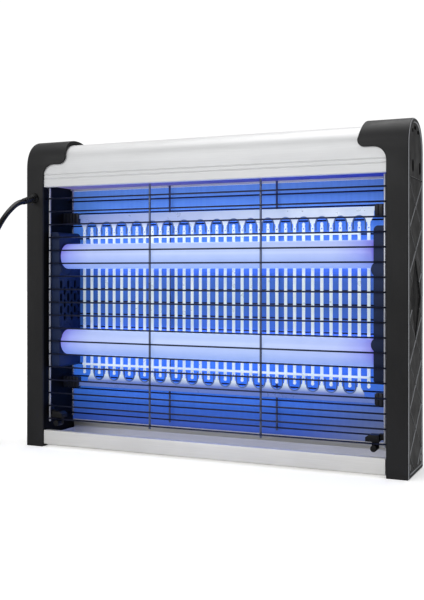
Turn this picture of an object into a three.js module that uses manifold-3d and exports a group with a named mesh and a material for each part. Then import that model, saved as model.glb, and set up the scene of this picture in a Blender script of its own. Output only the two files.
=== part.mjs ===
// Electric bug zapper: a rounded aluminium top housing between two moulded end caps,
// with wire guards, two ultraviolet tubes, two interleaved high-voltage combs, a collection tray
// and a mains lead.
// Millimetres, +Z up, +X along the tubes, -Y towards the front. The origin is the middle of the footprint.
import * as THREE from 'three';
import { mergeVertices } from 'three/addons/utils/BufferGeometryUtils.js';
import Module from 'manifold-3d';

const wasm = await Module();
wasm.setup();

// ---------- driving dimensions ----------
const LENGTH = 400;
const DEPTH = 61;
const HEIGHT = 319;
const GAP = 0.3; // clearance between pieces that touch

// end caps
const LEG_WIDTH = 20.5;
const CAP_WALL = 2.2;
const CAP_SHOULDER = 288; // height where the cap starts to round over
const ARCH_POWER = 2.3; // roundness of the arched tops
const TAB_REACH = 26.2; // how far the tab laps over the housing past the leg
const TAB_EDGE = 292; // height of the tab's lower edge
const TAB_FILLET = 12;
const TAB_CORNER = 7;
const TAB_LEAN = 4.5; // the tab's free edge leans back this much at the top

// top housing
const HOUSING_HALF_DEPTH = 28.6;
const HOUSING_BOTTOM = 269;
const HOUSING_SHOULDER = 286;
const HOUSING_TOP = 314.2;
const HOUSING_WALL = 1.6;
const HOUSING_LIP = 22; // the bottom lips reach inwards to this distance from the middle
const GROOVE_HEIGHTS = [277.4, 281.4];
const PLATE_THICKNESS = 1.2;

// window between the legs
const WINDOW_HALF = LENGTH / 2 - LEG_WIDTH;
const COVER_THICKNESS = 1.8;
const COVER_TOP = 283; // the cover runs up past the end of the housing

// guards
const GUARD_HALF = 176.6; // end uprights
const GUARD_WIRES = 18;
const GUARD_PITCH = 13.46;
const GUARD_FIRST = 28.4;
const GUARD_LAST = GUARD_FIRST + GUARD_PITCH * (GUARD_WIRES - 1);
const GUARD_FRONT_Y = -22.8;
const GUARD_BACK_Y = 21.2;
const WIRE_RADIUS = 0.8;
const UPRIGHT_RADIUS = 1.1;
const WIRE_SIDES = 4;
const UPRIGHT_BOTTOM = 25.2;

// ultraviolet tubes
const TUBE_RADIUS = 13;
const TUBE_Y = -7;
const TUBE_HEIGHTS = { upper: 197.3, lower: 107.8 };
const TUBE_HALF = 165.6; // metal cap face to the middle
const TUBE_CAP_LENGTH = 1.4;
const TUBE_WALL = 0.8;
const TUBE_MOUTH = 10.8; // radius of the opening at each end of the glass
const PIN_RADIUS = 1.2;
const PIN_OFFSET = 6.35;
const PIN_LENGTH = 7;

// lamp columns and holders
const COLUMN_HALF = 166; // inner face of the column to the middle
const COLUMN_FRONT = -20.2;
const COLUMN_BACK = 20.1;
const COLUMN_BOTTOM = 81;
const COLUMN_TOP = 222.5;
const COLUMN_WALL = 1.6;
const LOBE_RADIUS = 7; // round lobes on the column's front wall, beside the tubes
const LOBE_X = 170.5;
const LOBE_HEIGHTS = [183.5, 115.9];
const VENT_COLUMNS = 6;
const VENT_PITCH = 6.6;
const VENT_RISE = 13.3;
const VENT_LOWEST = 134.7; // middle of the lowest vent
const HOLDER_WIDTH = 21;
const HOLDER_HEIGHT = 34;
const HOLDER_SHIFT = 3; // holders sit a little towards the middle of the column
const HOLDER_FACE = TUBE_HALF + 0.4;
const HOLDER_DEPTH = 9;

// high-voltage combs
const BAR_COUNT = 35;
const BAR_PITCH = 9.06;
const BAR_WIDTH = 3;
const COMB_THICKNESS = 1;
const COMB_Y = 9.4;
const UPPER_RAIL = [241.8, 233.4]; // far edge, then the edge that the bars leave
const LOWER_RAIL = [59.6, 67.6];
const UPPER_TIE = 83.4;
const LOWER_TIE = 217;
const TIE_HEIGHT = 2.2;
const TIE_LIFT = 1.4; // space between a tie and the other comb's bars
const RAIL_END = 3.8; // height of the strip that runs on into the insulator
const TIP_GAP = 5.9; // radius of the pocket around the other comb's tips
const UPPER_TIPS = 73; // the upper comb's bars end here
const LOWER_TIPS = 228.2;
const RAIL_HALF = 165;

// base and tray
const BASE_TOP = 20.4;
const TRAY_FRONT_Y = -29.6;
const TRAY_BACK_Y = 24.4;
const TRAY_TOP = 17.2;
const TRAY_BOTTOM = 3.1;
const TRAY_HALF = 176;

// clips that hold the front guard shut
const CLIP_X = 167;
const CLIP_NOSE_Z = 24.2;
const CLIP_NOSE = 3; // radius of the round nose
const CLIP_FRONT_Y = -25.2;
const CLIP_BACK_Y = -15;

// mains lead
const CORD_RADIUS = 2.75;
const CORD_EXIT = [-(LENGTH / 2 - LEG_WIDTH / 2), -DEPTH / 2, 257.6];
const BOOT_LENGTH = 21;
const BOOT_BASE = 4;
const BOOT_TIP = 3.1;
const CORD_DROOP = 0.24; // the lead leaves the cap tilted down by this slope
const COIL_CENTRE = [-263, -63];
const COIL_MEAN_RADIUS = 28;
const COIL_HALF_WIDTH = 8.4;
const COIL_BASE = 0.9;
const COIL_HEIGHT = 15.1;
const PLUG_START = [-313, -60, 6.9];
const PLUG_SLEEVE = 13;
const PLUG_LENGTH = 36;
const PLUG_WIDTH = 24;
const PLUG_THICKNESS = 13.4;
const PLUG_PIN_OFFSET = 9.3;

// ---------- materials ----------
function paint(color, roughness, metalness) {
  return new THREE.MeshStandardMaterial({ color, roughness, metalness });
}
const MATERIALS = {
  charcoal: paint(0x2e2e2f, 0.55, 0),
  silver: paint(0xd6d8da, 0.4, 0.6),
  sheet: paint(0xc2c6cc, 0.35, 0.7),
  wire: paint(0x3c414b, 0.35, 0.8),
  comb: paint(0xd8e2ec, 0.3, 0.8),
  glass: paint(0xbcc4ff, 0.15, 0),
  nickel: paint(0xb8bcc2, 0.3, 0.9),
  brass: paint(0xb08d4a, 0.35, 0.9),
  navy: paint(0x232b45, 0.5, 0),
  black: paint(0x161618, 0.35, 0),
  board: paint(0x2c6a3c, 0.5, 0),
  white: paint(0xe8e8e4, 0.6, 0),
};

// ---------- geometry helpers ----------
function toSolid(geometry) {
  const plain = geometry.clone();
  for (const name of ['normal', 'uv']) plain.deleteAttribute(name);
  const merged = mergeVertices(plain, 1e-4);
  const vertProperties = Float32Array.from(merged.attributes.position.array);
  const triVerts = Uint32Array.from(merged.index.array);
  return new wasm.Manifold(new wasm.Mesh({ numProp: 3, vertProperties, triVerts }));
}

function toGeometry(solid) {
  const mesh = solid.getMesh();
  const geometry = new THREE.BufferGeometry();
  geometry.setAttribute('position', new THREE.BufferAttribute(mesh.vertProperties, 3));
  geometry.setIndex(new THREE.BufferAttribute(mesh.triVerts, 1));
  geometry.computeVertexNormals();
  return geometry;
}

function box([x0, x1], [y0, y1], [z0, z1]) {
  const geometry = new THREE.BoxGeometry(x1 - x0, y1 - y0, z1 - z0);
  return toSolid(geometry.translate((x0 + x1) / 2, (y0 + y1) / 2, (z0 + z1) / 2));
}

function extrude(points, depth) {
  const outline = new THREE.Shape(points.map(([a, b]) => new THREE.Vector2(a, b)));
  return new THREE.ExtrudeGeometry(outline, { depth, bevelEnabled: false, steps: 1 });
}

// An outline of [y, z] points swept along X.
function sweepX(points, x0, x1) {
  const turn = new THREE.Matrix4().set(0, 0, 1, x0, 1, 0, 0, 0, 0, 1, 0, 0, 0, 0, 0, 1);
  return toSolid(extrude(points, x1 - x0).applyMatrix4(turn));
}

// An outline of [x, z] points swept along Y.
function sweepY(points, y0, y1) {
  return toSolid(extrude(points, y1 - y0).rotateX(Math.PI / 2).translate(0, y1, 0));
}

function rod(from, to, radius, sides = 12) {
  const start = new THREE.Vector3(...from);
  const along = new THREE.Vector3(...to).sub(start);
  const geometry = new THREE.CylinderGeometry(radius, radius, along.length(), sides);
  const direction = along.clone().normalize();
  const turn = new THREE.Quaternion().setFromUnitVectors(new THREE.Vector3(0, 1, 0), direction);
  geometry.applyQuaternion(turn);
  return toSolid(geometry.translate(...start.addScaledVector(along, 0.5).toArray()));
}

// A closed [radius, x] profile turned about the X axis.
function turnX(profile, sides) {
  const points = profile.map(([radius, x]) => new THREE.Vector2(radius, x));
  points.push(points[0].clone());
  const solid = toSolid(new THREE.LatheGeometry(points, sides).rotateZ(-Math.PI / 2));
  return solid;
}

function arc(cx, cy, radius, from, to, steps) {
  const points = [];
  for (let i = 0; i <= steps; i += 1) {
    const angle = THREE.MathUtils.degToRad(from + ((to - from) * i) / steps);
    points.push([cx + radius * Math.cos(angle), cy + radius * Math.sin(angle)]);
  }
  return points;
}

// A stadium standing on end, centred on a point.
function stadium(cx, cy, width, height, steps = 5) {
  const radius = width / 2;
  const reach = height / 2 - radius;
  return [...arc(cx, cy + reach, radius, 0, 180, steps), ...arc(cx, cy - reach, radius, 180, 360, steps)];
}

// The arched top: up from the front shoulder, over, and down to the back shoulder.
function arch(halfDepth, shoulder, top, steps) {
  const points = [];
  for (let i = 0; i <= steps; i += 1) {
    const angle = (Math.PI * i) / steps;
    const across = Math.sign(Math.cos(angle)) * Math.abs(Math.cos(angle)) ** (2 / ARCH_POWER);
    points.push([-halfDepth * across, shoulder + (top - shoulder) * Math.sin(angle) ** (2 / ARCH_POWER)]);
  }
  return points;
}

function mirrorX(solid) {
  return solid.mirror([1, 0, 0]);
}

function joinAll(solids) {
  return solids.reduce((whole, solid) => whole.add(solid));
}

// ---------- the object ----------
const zapper = new THREE.Group();

function addPart(name, solid, material) {
  const mesh = new THREE.Mesh(toGeometry(solid), material);
  mesh.name = name;
  zapper.add(mesh);
}

function addPair(name, solid, material) {
  addPart(`right_${name}`, solid, material);
  addPart(`left_${name}`, mirrorX(solid), material);
}

// ---------- top housing ----------
function topHousing() {
  const half = WINDOW_HALF - GAP;
  const outer = [[-HOUSING_LIP, HOUSING_BOTTOM], [-HOUSING_HALF_DEPTH, HOUSING_BOTTOM]];
  for (const side of [-1, 1]) {
    const rising = side < 0 ? GROOVE_HEIGHTS : [...GROOVE_HEIGHTS].reverse();
    for (const height of rising) {
      outer.push([side * HOUSING_HALF_DEPTH, height + side * 0.7]);
      outer.push([side * (HOUSING_HALF_DEPTH - 0.7), height]);
      outer.push([side * HOUSING_HALF_DEPTH, height - side * 0.7]);
    }
    if (side < 0) outer.push(...arch(HOUSING_HALF_DEPTH, HOUSING_SHOULDER, HOUSING_TOP, 14));
  }
  outer.push([HOUSING_HALF_DEPTH, HOUSING_BOTTOM], [HOUSING_LIP, HOUSING_BOTTOM]);
  const inside = HOUSING_HALF_DEPTH - HOUSING_WALL;
  const lipTop = HOUSING_BOTTOM + HOUSING_WALL;
  const inner = arch(inside, HOUSING_SHOULDER, HOUSING_TOP - HOUSING_WALL, 14).reverse();
  const outline = [...outer, [HOUSING_LIP, lipTop], [inside, lipTop], ...inner, [-inside, lipTop],
    [-HOUSING_LIP, lipTop]];
  let shell = sweepX(outline, -half, half);
  const socketY = GUARD_BACK_Y + UPRIGHT_RADIUS;
  for (const x of uprightPlaces()) {
    const from = [x, socketY, HOUSING_BOTTOM - 1];
    const to = [x, socketY, lipTop + 1];
    shell = shell.subtract(rod(from, to, UPRIGHT_RADIUS + GAP, 6));
  }
  return shell;
}

function undersidePlate() {
  const bottom = HOUSING_BOTTOM + HOUSING_WALL + GAP;
  const halfDepth = HOUSING_HALF_DEPTH - HOUSING_WALL - GAP;
  const half = WINDOW_HALF - GAP;
  return box([-half, half], [-halfDepth, halfDepth], [bottom, bottom + PLATE_THICKNESS]);
}

// ---------- end caps (drawn for the right-hand end) ----------
function capOutline(inset) {
  const halfDepth = DEPTH / 2 - inset;
  return [[-halfDepth, inset], ...arch(halfDepth, CAP_SHOULDER, HEIGHT - inset, 14), [halfDepth, inset]];
}

function tabShape() {
  const edge = WINDOW_HALF;
  const free = edge - TAB_REACH;
  const fillet = arc(edge - TAB_FILLET, TAB_EDGE - TAB_FILLET, TAB_FILLET, 0, 90, 6);
  const corner = arc(free + TAB_CORNER, TAB_EDGE + TAB_CORNER, TAB_CORNER, 270, 180, 6);
  const top = HEIGHT + 2;
  const bottom = TAB_EDGE - 2 * TAB_FILLET;
  return [[edge + CAP_WALL, bottom], [edge, bottom], ...fillet, ...corner, [free + TAB_LEAN, top],
    [edge + CAP_WALL, top]];
}

function capTab() {
  const halfDepth = HOUSING_HALF_DEPTH + GAP;
  const crown = arch(halfDepth, HOUSING_SHOULDER, HOUSING_TOP + GAP, 14);
  const under = [[-halfDepth, HOUSING_BOTTOM - 69], ...crown, [halfDepth, HOUSING_BOTTOM - 69]];
  const from = WINDOW_HALF - TAB_REACH - 2;
  const to = WINDOW_HALF + CAP_WALL;
  const sheet = sweepX(capOutline(0), from, to).subtract(sweepX(under, from - 1, to + 1));
  return sheet.intersect(sweepY(tabShape(), -DEPTH, DEPTH));
}

const SCREW_PLACES = { front: [-23.4, 10], back: [23.4, 10] };
const SCREW_HEAD = 3.1;
const SCREW_SHANK = 1.5;
const SCREW_RECESS = 2;
const BOSS_RADIUS = 4.6;
const BOSS_DEPTH = 12;
const HIGH_SLOTS_Y = [-11.5, 18.5];
const HIGH_SLOT_WIDTH = 7;
const HIGH_SLOT_HEIGHT = 11.5;
const HIGH_SLOT_Z = 275.5;
const DIAMOND_Z = 157.5;
const DIAMOND_HEIGHT = 66; // the middle slot
const DIAMOND_STEP = 17; // each slot is this much shorter than the one nearer the middle
const DIAMOND_PITCH = 5.6;

function screwBoss([y, z]) {
  const outside = LENGTH / 2;
  return rod([outside - BOSS_DEPTH, y, z], [outside - 1, y, z], BOSS_RADIUS, 16);
}

function screwHole([y, z]) {
  const outside = LENGTH / 2;
  const head = rod([outside - SCREW_RECESS, y, z], [outside + 1, y, z], SCREW_HEAD + GAP, 16);
  const shank = rod([outside - BOSS_DEPTH - 1, y, z], [outside, y, z], SCREW_SHANK + GAP, 10);
  return head.add(shank);
}

// Two short slots near the top, and seven in the middle that make up a diamond.
function ventSlots() {
  const outlines = HIGH_SLOTS_Y.map((y) => stadium(y, HIGH_SLOT_Z, HIGH_SLOT_WIDTH, HIGH_SLOT_HEIGHT, 3));
  for (let i = -3; i <= 3; i += 1) {
    const height = DIAMOND_HEIGHT - Math.abs(i) * DIAMOND_STEP;
    outlines.push(stadium(i * DIAMOND_PITCH, DIAMOND_Z, 2.2, height, 2));
  }
  return joinAll(outlines.map((outline) => sweepX(outline, LENGTH / 2 - 6, LENGTH / 2 + 1)));
}

function endCap() {
  const body = sweepX(capOutline(0), WINDOW_HALF, LENGTH / 2);
  const hollow = sweepX(capOutline(CAP_WALL), WINDOW_HALF - 1, LENGTH / 2 - CAP_WALL);
  const places = Object.values(SCREW_PLACES);
  const shell = joinAll([body.subtract(hollow), capTab(), ...places.map(screwBoss)]);
  return shell.subtract(joinAll([ventSlots(), ...places.map(screwHole)]));
}

function cordHole() {
  const [x, y, z] = CORD_EXIT;
  return rod([x, y - 1, z], [x, y + CAP_WALL + 1, z], 5.2, 16);
}

function capScrew([y, z]) {
  const outside = LENGTH / 2;
  const head = rod([outside - SCREW_RECESS + GAP, y, z], [outside - 0.2, y, z], SCREW_HEAD, 16);
  const tip = [outside - BOSS_DEPTH - 2, y, z];
  const shank = rod(tip, [outside - SCREW_RECESS + 0.5, y, z], SCREW_SHANK, 10);
  const drive = box([outside - 1, outside + 1], [y - 2.2, y + 2.2], [z - 0.4, z + 0.4]);
  return head.subtract(drive).add(shank);
}

// ---------- covers that close the caps' inner sides ----------
function innerCover() {
  const x0 = WINDOW_HALF + 0.1;
  const x1 = x0 + COVER_THICKNESS;
  const halfDepth = DEPTH / 2 - CAP_WALL - GAP;
  const plate = box([x0, x1], [-halfDepth, halfDepth], [CAP_WALL + GAP, COVER_TOP]);
  const cuts = [];
  for (const height of Object.values(TUBE_HEIGHTS)) {
    cuts.push(box([x0 - 1, x1 + 1], [TUBE_Y - 9, TUBE_Y + 9], [height - 14, height + 14]));
  }
  const pinned = [[GUARD_FRONT_Y, GUARD_LAST], [GUARD_BACK_Y, GUARD_LAST], [GUARD_BACK_Y, GUARD_FIRST]];
  for (const [y, z] of pinned) {
    cuts.push(rod([x0 - 1, y, z], [x1 + 1, y, z], WIRE_RADIUS + GAP + 0.1, 8));
  }
  return plate.subtract(joinAll(cuts));
}

// ---------- lamp columns, holders and tubes ----------
function holderCentre(which) {
  const towards = which === 'upper' ? -1 : 1;
  return TUBE_HEIGHTS[which] + towards * HOLDER_SHIFT;
}

// Long hexagonal vents in the column's inner face, between the tubes, in staggered columns.
function columnVents() {
  const cuts = [];
  for (let column = 0; column < VENT_COLUMNS; column += 1) {
    const y = (column - (VENT_COLUMNS - 1) / 2) * VENT_PITCH;
    const shift = column % 2 ? 0 : VENT_RISE / 2;
    for (let row = 0; row < 3; row += 1) {
      const z = VENT_LOWEST + shift + row * VENT_RISE;
      const outline = [[y - 2.1, z - 3], [y, z - 5], [y + 2.1, z - 3], [y + 2.1, z + 3], [y, z + 5],
        [y - 2.1, z + 3]];
      cuts.push(sweepX(outline, COLUMN_HALF - 1, COLUMN_HALF + COLUMN_WALL + 1));
    }
  }
  return joinAll(cuts);
}

function lampColumn() {
  const x0 = COLUMN_HALF;
  const x1 = WINDOW_HALF - GAP;
  const round = 4;
  const outline = [[x1, COLUMN_BOTTOM], ...arc(x0 + round, COLUMN_BOTTOM + round, round, 270, 180, 5),
    ...arc(x0 + round, COLUMN_TOP - round, round, 180, 90, 5), [x1, COLUMN_TOP]];
  const body = sweepY(outline, COLUMN_FRONT, COLUMN_BACK);
  const wall = COLUMN_WALL;
  const hollow = box([x0 + wall, x1 + 1], [COLUMN_FRONT + wall, COLUMN_BACK - wall],
    [COLUMN_BOTTOM + wall + 1.5, COLUMN_TOP - wall - 1.5]);
  const lobes = LOBE_HEIGHTS.map((z) => (
    rod([LOBE_X, COLUMN_FRONT, z], [LOBE_X, COLUMN_FRONT + wall, z], LOBE_RADIUS, 24)));
  let shell = joinAll([body.subtract(hollow), ...lobes]).subtract(columnVents());
  for (const which of Object.keys(TUBE_HEIGHTS)) {
    const opening = stadium(TUBE_Y, holderCentre(which), HOLDER_WIDTH + 2 * GAP, HOLDER_HEIGHT + 2 * GAP);
    shell = shell.subtract(sweepX(opening, x0 - 1, x0 + wall + 1));
  }
  return shell;
}

function lampHolder(which) {
  const z = TUBE_HEIGHTS[which];
  const centre = holderCentre(which);
  const outline = stadium(TUBE_Y, centre, HOLDER_WIDTH, HOLDER_HEIGHT);
  const body = sweepX(outline, HOLDER_FACE, HOLDER_FACE + HOLDER_DEPTH);
  const flangeAt = COLUMN_HALF + COLUMN_WALL + GAP;
  const wider = stadium(TUBE_Y, centre, HOLDER_WIDTH + 1.4, HOLDER_HEIGHT + 3);
  const flange = sweepX(wider, flangeAt, flangeAt + 1.5);
  const from = HOLDER_FACE - 1;
  const to = HOLDER_FACE + PIN_LENGTH + 0.8;
  const room = PIN_RADIUS + 0.5;
  const [inner, outer] = [PIN_OFFSET - room, PIN_OFFSET + room];
  const groove = turnX([[inner, from], [outer, from], [outer, to], [inner, to]], 16);
  const entry = box([from, to], [-HOLDER_WIDTH, -PIN_OFFSET], [-room, room]);
  return body.add(flange).subtract(groove.add(entry).translate([0, TUBE_Y, z]));
}

function tubeGlass() {
  const end = TUBE_HALF - 0.2;
  const inner = TUBE_RADIUS - TUBE_WALL;
  const half = [[TUBE_RADIUS, end - 1.6], [TUBE_RADIUS - 1.2, end], [TUBE_MOUTH, end],
    [TUBE_MOUTH, end - TUBE_WALL], [inner, end - 2.4]];
  const mirrored = half.map(([radius, x]) => [radius, -x]).reverse();
  return turnX([...half, ...mirrored], 20);
}

// A metal disc set into the tube's mouth, with two pins.
function tubeCap() {
  const start = TUBE_HALF - TUBE_CAP_LENGTH;
  const rim = TUBE_MOUTH - GAP;
  const chamfer = 0.6;
  const disc = turnX([[0, start], [rim, start], [rim, TUBE_HALF - chamfer], [rim - chamfer, TUBE_HALF],
    [0, TUBE_HALF]], 20);
  const pins = [-1, 1].map((side) => {
    const z = side * PIN_OFFSET;
    return rod([TUBE_HALF - 0.5, 0, z], [TUBE_HALF + PIN_LENGTH, 0, z], PIN_RADIUS, 10);
  });
  return joinAll([disc, ...pins]);
}

function addLamps() {
  for (const [which, z] of Object.entries(TUBE_HEIGHTS)) {
    const place = [0, TUBE_Y, z];
    addPart(`uv_tube_${which}`, tubeGlass().translate(place), MATERIALS.glass);
    addPart(`${which}_tube_cap_right`, tubeCap().translate(place), MATERIALS.nickel);
    addPart(`${which}_tube_cap_left`, mirrorX(tubeCap()).translate(place), MATERIALS.nickel);
    addPart(`${which}_lamp_holder_right`, lampHolder(which), MATERIALS.navy);
    addPart(`${which}_lamp_holder_left`, mirrorX(lampHolder(which)), MATERIALS.navy);
  }
}

// ---------- wire guards ----------
function uprightPlaces() {
  return [-1, -1 / 3, 1 / 3, 1].map((share) => share * GUARD_HALF);
}

// The pinned wires run on into holes in the inner covers: one pinned wire makes a hinge, and two hold still.
function wireGuard(y, pinnedWires, uprightTop) {
  const wires = [];
  for (let i = 0; i < GUARD_WIRES; i += 1) {
    const z = GUARD_FIRST + i * GUARD_PITCH;
    const pinned = pinnedWires.includes(i);
    const reach = pinned ? WINDOW_HALF + 1 : GUARD_HALF + 1.6;
    wires.push(rod([-reach, y, z], [reach, y, z], WIRE_RADIUS, WIRE_SIDES));
  }
  const uprightY = y + UPRIGHT_RADIUS;
  for (const x of uprightPlaces()) {
    wires.push(rod([x, uprightY, UPRIGHT_BOTTOM], [x, uprightY, uprightTop], UPRIGHT_RADIUS, WIRE_SIDES));
  }
  return joinAll(wires);
}

// ---------- high-voltage combs ----------
function combOutline(first, [railFar, railNear], tips) {
  const up = Math.sign(railFar - railNear);
  const half = BAR_WIDTH / 2;
  const shoulder = barX(BAR_COUNT - 1 - first) + half + 3.4;
  const strip = railFar - up * RAIL_END;
  const points = [[-RAIL_HALF, railFar], [RAIL_HALF, railFar], [RAIL_HALF, strip], [shoulder, strip],
    [shoulder, railNear]];
  for (let i = BAR_COUNT - 1 - first; i >= first; i -= 2) {
    const x = barX(i);
    const neck = railNear - up * TIP_GAP;
    points.push([x + half, neck], [x + half, tips + up], [x + half - 1, tips]);
    points.push([x - half + 1, tips], [x - half, tips + up], [x - half, neck]);
    if (i - 2 >= first) {
      const middle = barX(i - 1);
      const sweep = up > 0 ? [0, 180] : [0, -180];
      points.push(...arc(middle, neck, TIP_GAP, sweep[0], sweep[1], 4));
    }
  }
  points.push([-shoulder, railNear], [-shoulder, strip], [-RAIL_HALF, strip]);
  return points;
}

function barX(i) {
  return (i - (BAR_COUNT - 1) / 2) * BAR_PITCH;
}

// One comb: a rail with bars, and a tie that crosses in front of the other comb's bars on short posts.
function comb(first, rail, tie, tips) {
  const plate = sweepY(combOutline(first, rail, tips), COMB_Y, COMB_Y + COMB_THICKNESS);
  const end = barX(BAR_COUNT - 1 - first) + 1;
  const heights = [tie - TIE_HEIGHT / 2, tie + TIE_HEIGHT / 2];
  const back = COMB_Y - TIE_LIFT;
  const pieces = [plate, box([-end, end], [back - COMB_THICKNESS, back], heights)];
  for (let i = first; i < BAR_COUNT - first; i += 2) {
    pieces.push(box([barX(i) - 1, barX(i) + 1], [back - 0.5, COMB_Y + 0.5], heights));
  }
  return joinAll(pieces);
}

const INSULATOR_X = 160.2;
const INSULATOR_HALF_DEPTH = 3.2;
const INSULATOR_CHAMFER = 1.5;

// A block that holds the end of a rail by its strip.
function gridInsulator([railFar, railNear]) {
  const up = Math.sign(railFar - railNear);
  const z = (railFar + railNear) / 2;
  const half = Math.abs(railFar - railNear) / 2 + 2;
  const middle = COMB_Y + COMB_THICKNESS / 2;
  const x0 = INSULATOR_X;
  const x1 = WINDOW_HALF - GAP;
  const cut = INSULATOR_CHAMFER;
  const outline = [[x0, z - half + cut], [x0 + cut, z - half], [x1, z - half], [x1, z + half],
    [x0 + cut, z + half], [x0, z + half - cut]];
  const body = sweepY(outline, middle - INSULATOR_HALF_DEPTH, middle + INSULATOR_HALF_DEPTH);
  const strip = [railFar + up * GAP, railFar - up * (RAIL_END + GAP)].sort((a, b) => a - b);
  const slot = box([x0 - 10, RAIL_HALF + GAP], [COMB_Y - GAP, COMB_Y + COMB_THICKNESS + GAP], strip);
  return body.subtract(slot);
}

function addGrid() {
  addPart('grid_comb_upper', comb(0, UPPER_RAIL, UPPER_TIE, UPPER_TIPS), MATERIALS.comb);
  addPart('grid_comb_lower', comb(1, LOWER_RAIL, LOWER_TIE, LOWER_TIPS), MATERIALS.comb);
  addPair('upper_insulator', gridInsulator(UPPER_RAIL), MATERIALS.black);
  addPair('lower_insulator', gridInsulator(LOWER_RAIL), MATERIALS.black);
}

function rearReflector() {
  const half = WINDOW_HALF - GAP;
  return box([-half, half], [26.2, 27], [BASE_TOP + GAP, HOUSING_BOTTOM - GAP]);
}

// ---------- base, tray and guard clips ----------
function baseChannel() {
  const outline = [[-24, 1], [29.6, 1], [29.6, BASE_TOP], [25.6, BASE_TOP], [25.6, BASE_TOP - 1.4],
    [28.2, BASE_TOP - 1.4], [28.2, 2.2], [-24, 2.2]];
  return sweepX(outline, -WINDOW_HALF + GAP, WINDOW_HALF - GAP);
}

function collectionTray() {
  const wall = 1.2;
  const front = TRAY_FRONT_Y;
  const profile = [[front, TRAY_BOTTOM], [front + 1.8, TRAY_BOTTOM], [front + 1.8, 13], [front + 3.2, 13],
    [front + 3.2, 15.6], [front + 6, 15.6], [front + 6, TRAY_TOP], [front, TRAY_TOP]];
  const face = sweepX(profile, -WINDOW_HALF + 0.8, WINDOW_HALF - 0.8);
  const floor = box([-TRAY_HALF, TRAY_HALF], [front + 1, TRAY_BACK_Y], [TRAY_BOTTOM, TRAY_BOTTOM + wall]);
  const backWall = box([-TRAY_HALF, TRAY_HALF], [TRAY_BACK_Y - wall, TRAY_BACK_Y], [TRAY_BOTTOM, 14.4]);
  const ends = [-1, 1].map((side) => {
    const [x0, x1] = side < 0 ? [-TRAY_HALF, -TRAY_HALF + wall] : [TRAY_HALF - wall, TRAY_HALF];
    return box([x0, x1], [front + 1, TRAY_BACK_Y], [TRAY_BOTTOM, 12.6]);
  });
  return joinAll([face, floor, backWall, ...ends]);
}

// A clip on the cap's inner cover that grips the front guard's bottom wire between a block and a round nose.
function guardClip() {
  const end = WINDOW_HALF - GAP;
  const jawFrom = CLIP_X - 7.4;
  const jawTo = CLIP_X + 5;
  const armFrom = CLIP_X + 4;
  const armOutline = [[armFrom, 31.5], [end, 31.5], [end, 42.6], [end - 1.6, 42.6], [end - 3.4, 39.6],
    [end - 3.4, 37], [armFrom, 37]];
  const jawOutline = [[jawFrom, 30.2], [jawTo, 30.2], [jawTo, 36.4], [jawFrom + 3.4, 36.4], [jawFrom, 34]];
  const arm = sweepY(armOutline, CLIP_BACK_Y - 5, CLIP_BACK_Y);
  const jaw = sweepY(jawOutline, CLIP_FRONT_Y, CLIP_BACK_Y);
  const nose = rod([CLIP_X, CLIP_FRONT_Y, CLIP_NOSE_Z], [CLIP_X, CLIP_BACK_Y, CLIP_NOSE_Z], CLIP_NOSE, 14);
  const web = box([CLIP_X - 3, CLIP_X + 3], [CLIP_BACK_Y - 4, CLIP_BACK_Y], [CLIP_NOSE_Z, 31]);
  return joinAll([arm, jaw, nose, web]);
}

// ---------- electrics inside the housing ----------
const DECK_HEIGHT = HOUSING_BOTTOM + HOUSING_WALL + PLATE_THICKNESS + 2 * GAP;
const BOARD_LIFT = 4;

// A part with a thin mounting flange that reaches past both ends.
function onFlange([x0, x1], halfDepth, height, flangeReach, flangeHalf, flangeHeight) {
  const deck = DECK_HEIGHT;
  const core = box([x0, x1], [-halfDepth, halfDepth], [deck, deck + height]);
  const ends = [x0 - flangeReach, x1 + flangeReach];
  return core.add(box(ends, [-flangeHalf, flangeHalf], [deck, deck + flangeHeight]));
}

function addElectrics() {
  const deck = DECK_HEIGHT;
  const ballast = onFlange([20, 142], 15, 22, 8, 15, 1.2);
  const transformer = onFlange([-62, -14], 16, 28, 8, 10, 1.6);
  const board = box([-132, -76], [-18, 18], [deck + BOARD_LIFT, deck + BOARD_LIFT + 1.6]);
  const standoffs = [-128, -80].map((x) => rod([x, 0, deck], [x, 0, deck + BOARD_LIFT + 0.5], 2.4, 10));
  const lower = box([-168, -142], [-6, 6], [deck, deck + 9]);
  const upper = box([-168, -142], [-3, 3], [deck, deck + 13]);
  addPart('ballast', ballast, MATERIALS.white);
  addPart('hv_transformer', transformer, MATERIALS.black);
  addPart('circuit_board', joinAll([board, ...standoffs]), MATERIALS.board);
  addPart('terminal_block', lower.add(upper), MATERIALS.white);
}

// ---------- mains lead ----------
function alongExit(distance) {
  const length = Math.hypot(1, CORD_DROOP);
  const [x, y, z] = CORD_EXIT;
  return [x, y - distance / length, z - (distance * CORD_DROOP) / length];
}

// Hand-placed points of the free stretch, from the end of the strain relief to the coil.
const CORD_ROUTE = [
  alongExit(BOOT_LENGTH + 2 * GAP), alongExit(BOOT_LENGTH + 5.5),
  [-189.9, -62.4, 248.9], [-190.4, -68.5, 244.8], [-191.3, -74.8, 239.3], [-192.5, -80.5, 232.8],
  [-193.9, -86, 224.6], [-195.6, -90.9, 214.6], [-197.4, -94.7, 203.6], [-199.5, -97.4, 190],
  [-202, -99.2, 172], [-204.6, -100, 150], [-207.2, -100.5, 126], [-209.8, -100.8, 102],
  [-212.4, -101, 79], [-215, -101, 57.5], [-217.3, -101, 40], [-219.5, -101, 26.6],
  [-222.4, -100.9, 17.8], [-227.7, -100.6, 10.4], [-235, -99.6, 5.2], [-243.6, -98.2, 3.2],
  [-250, -97.2, 3.2], [-256.6, -96.7, 3.5], [-263, -96.5, 3.7],
];

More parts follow.
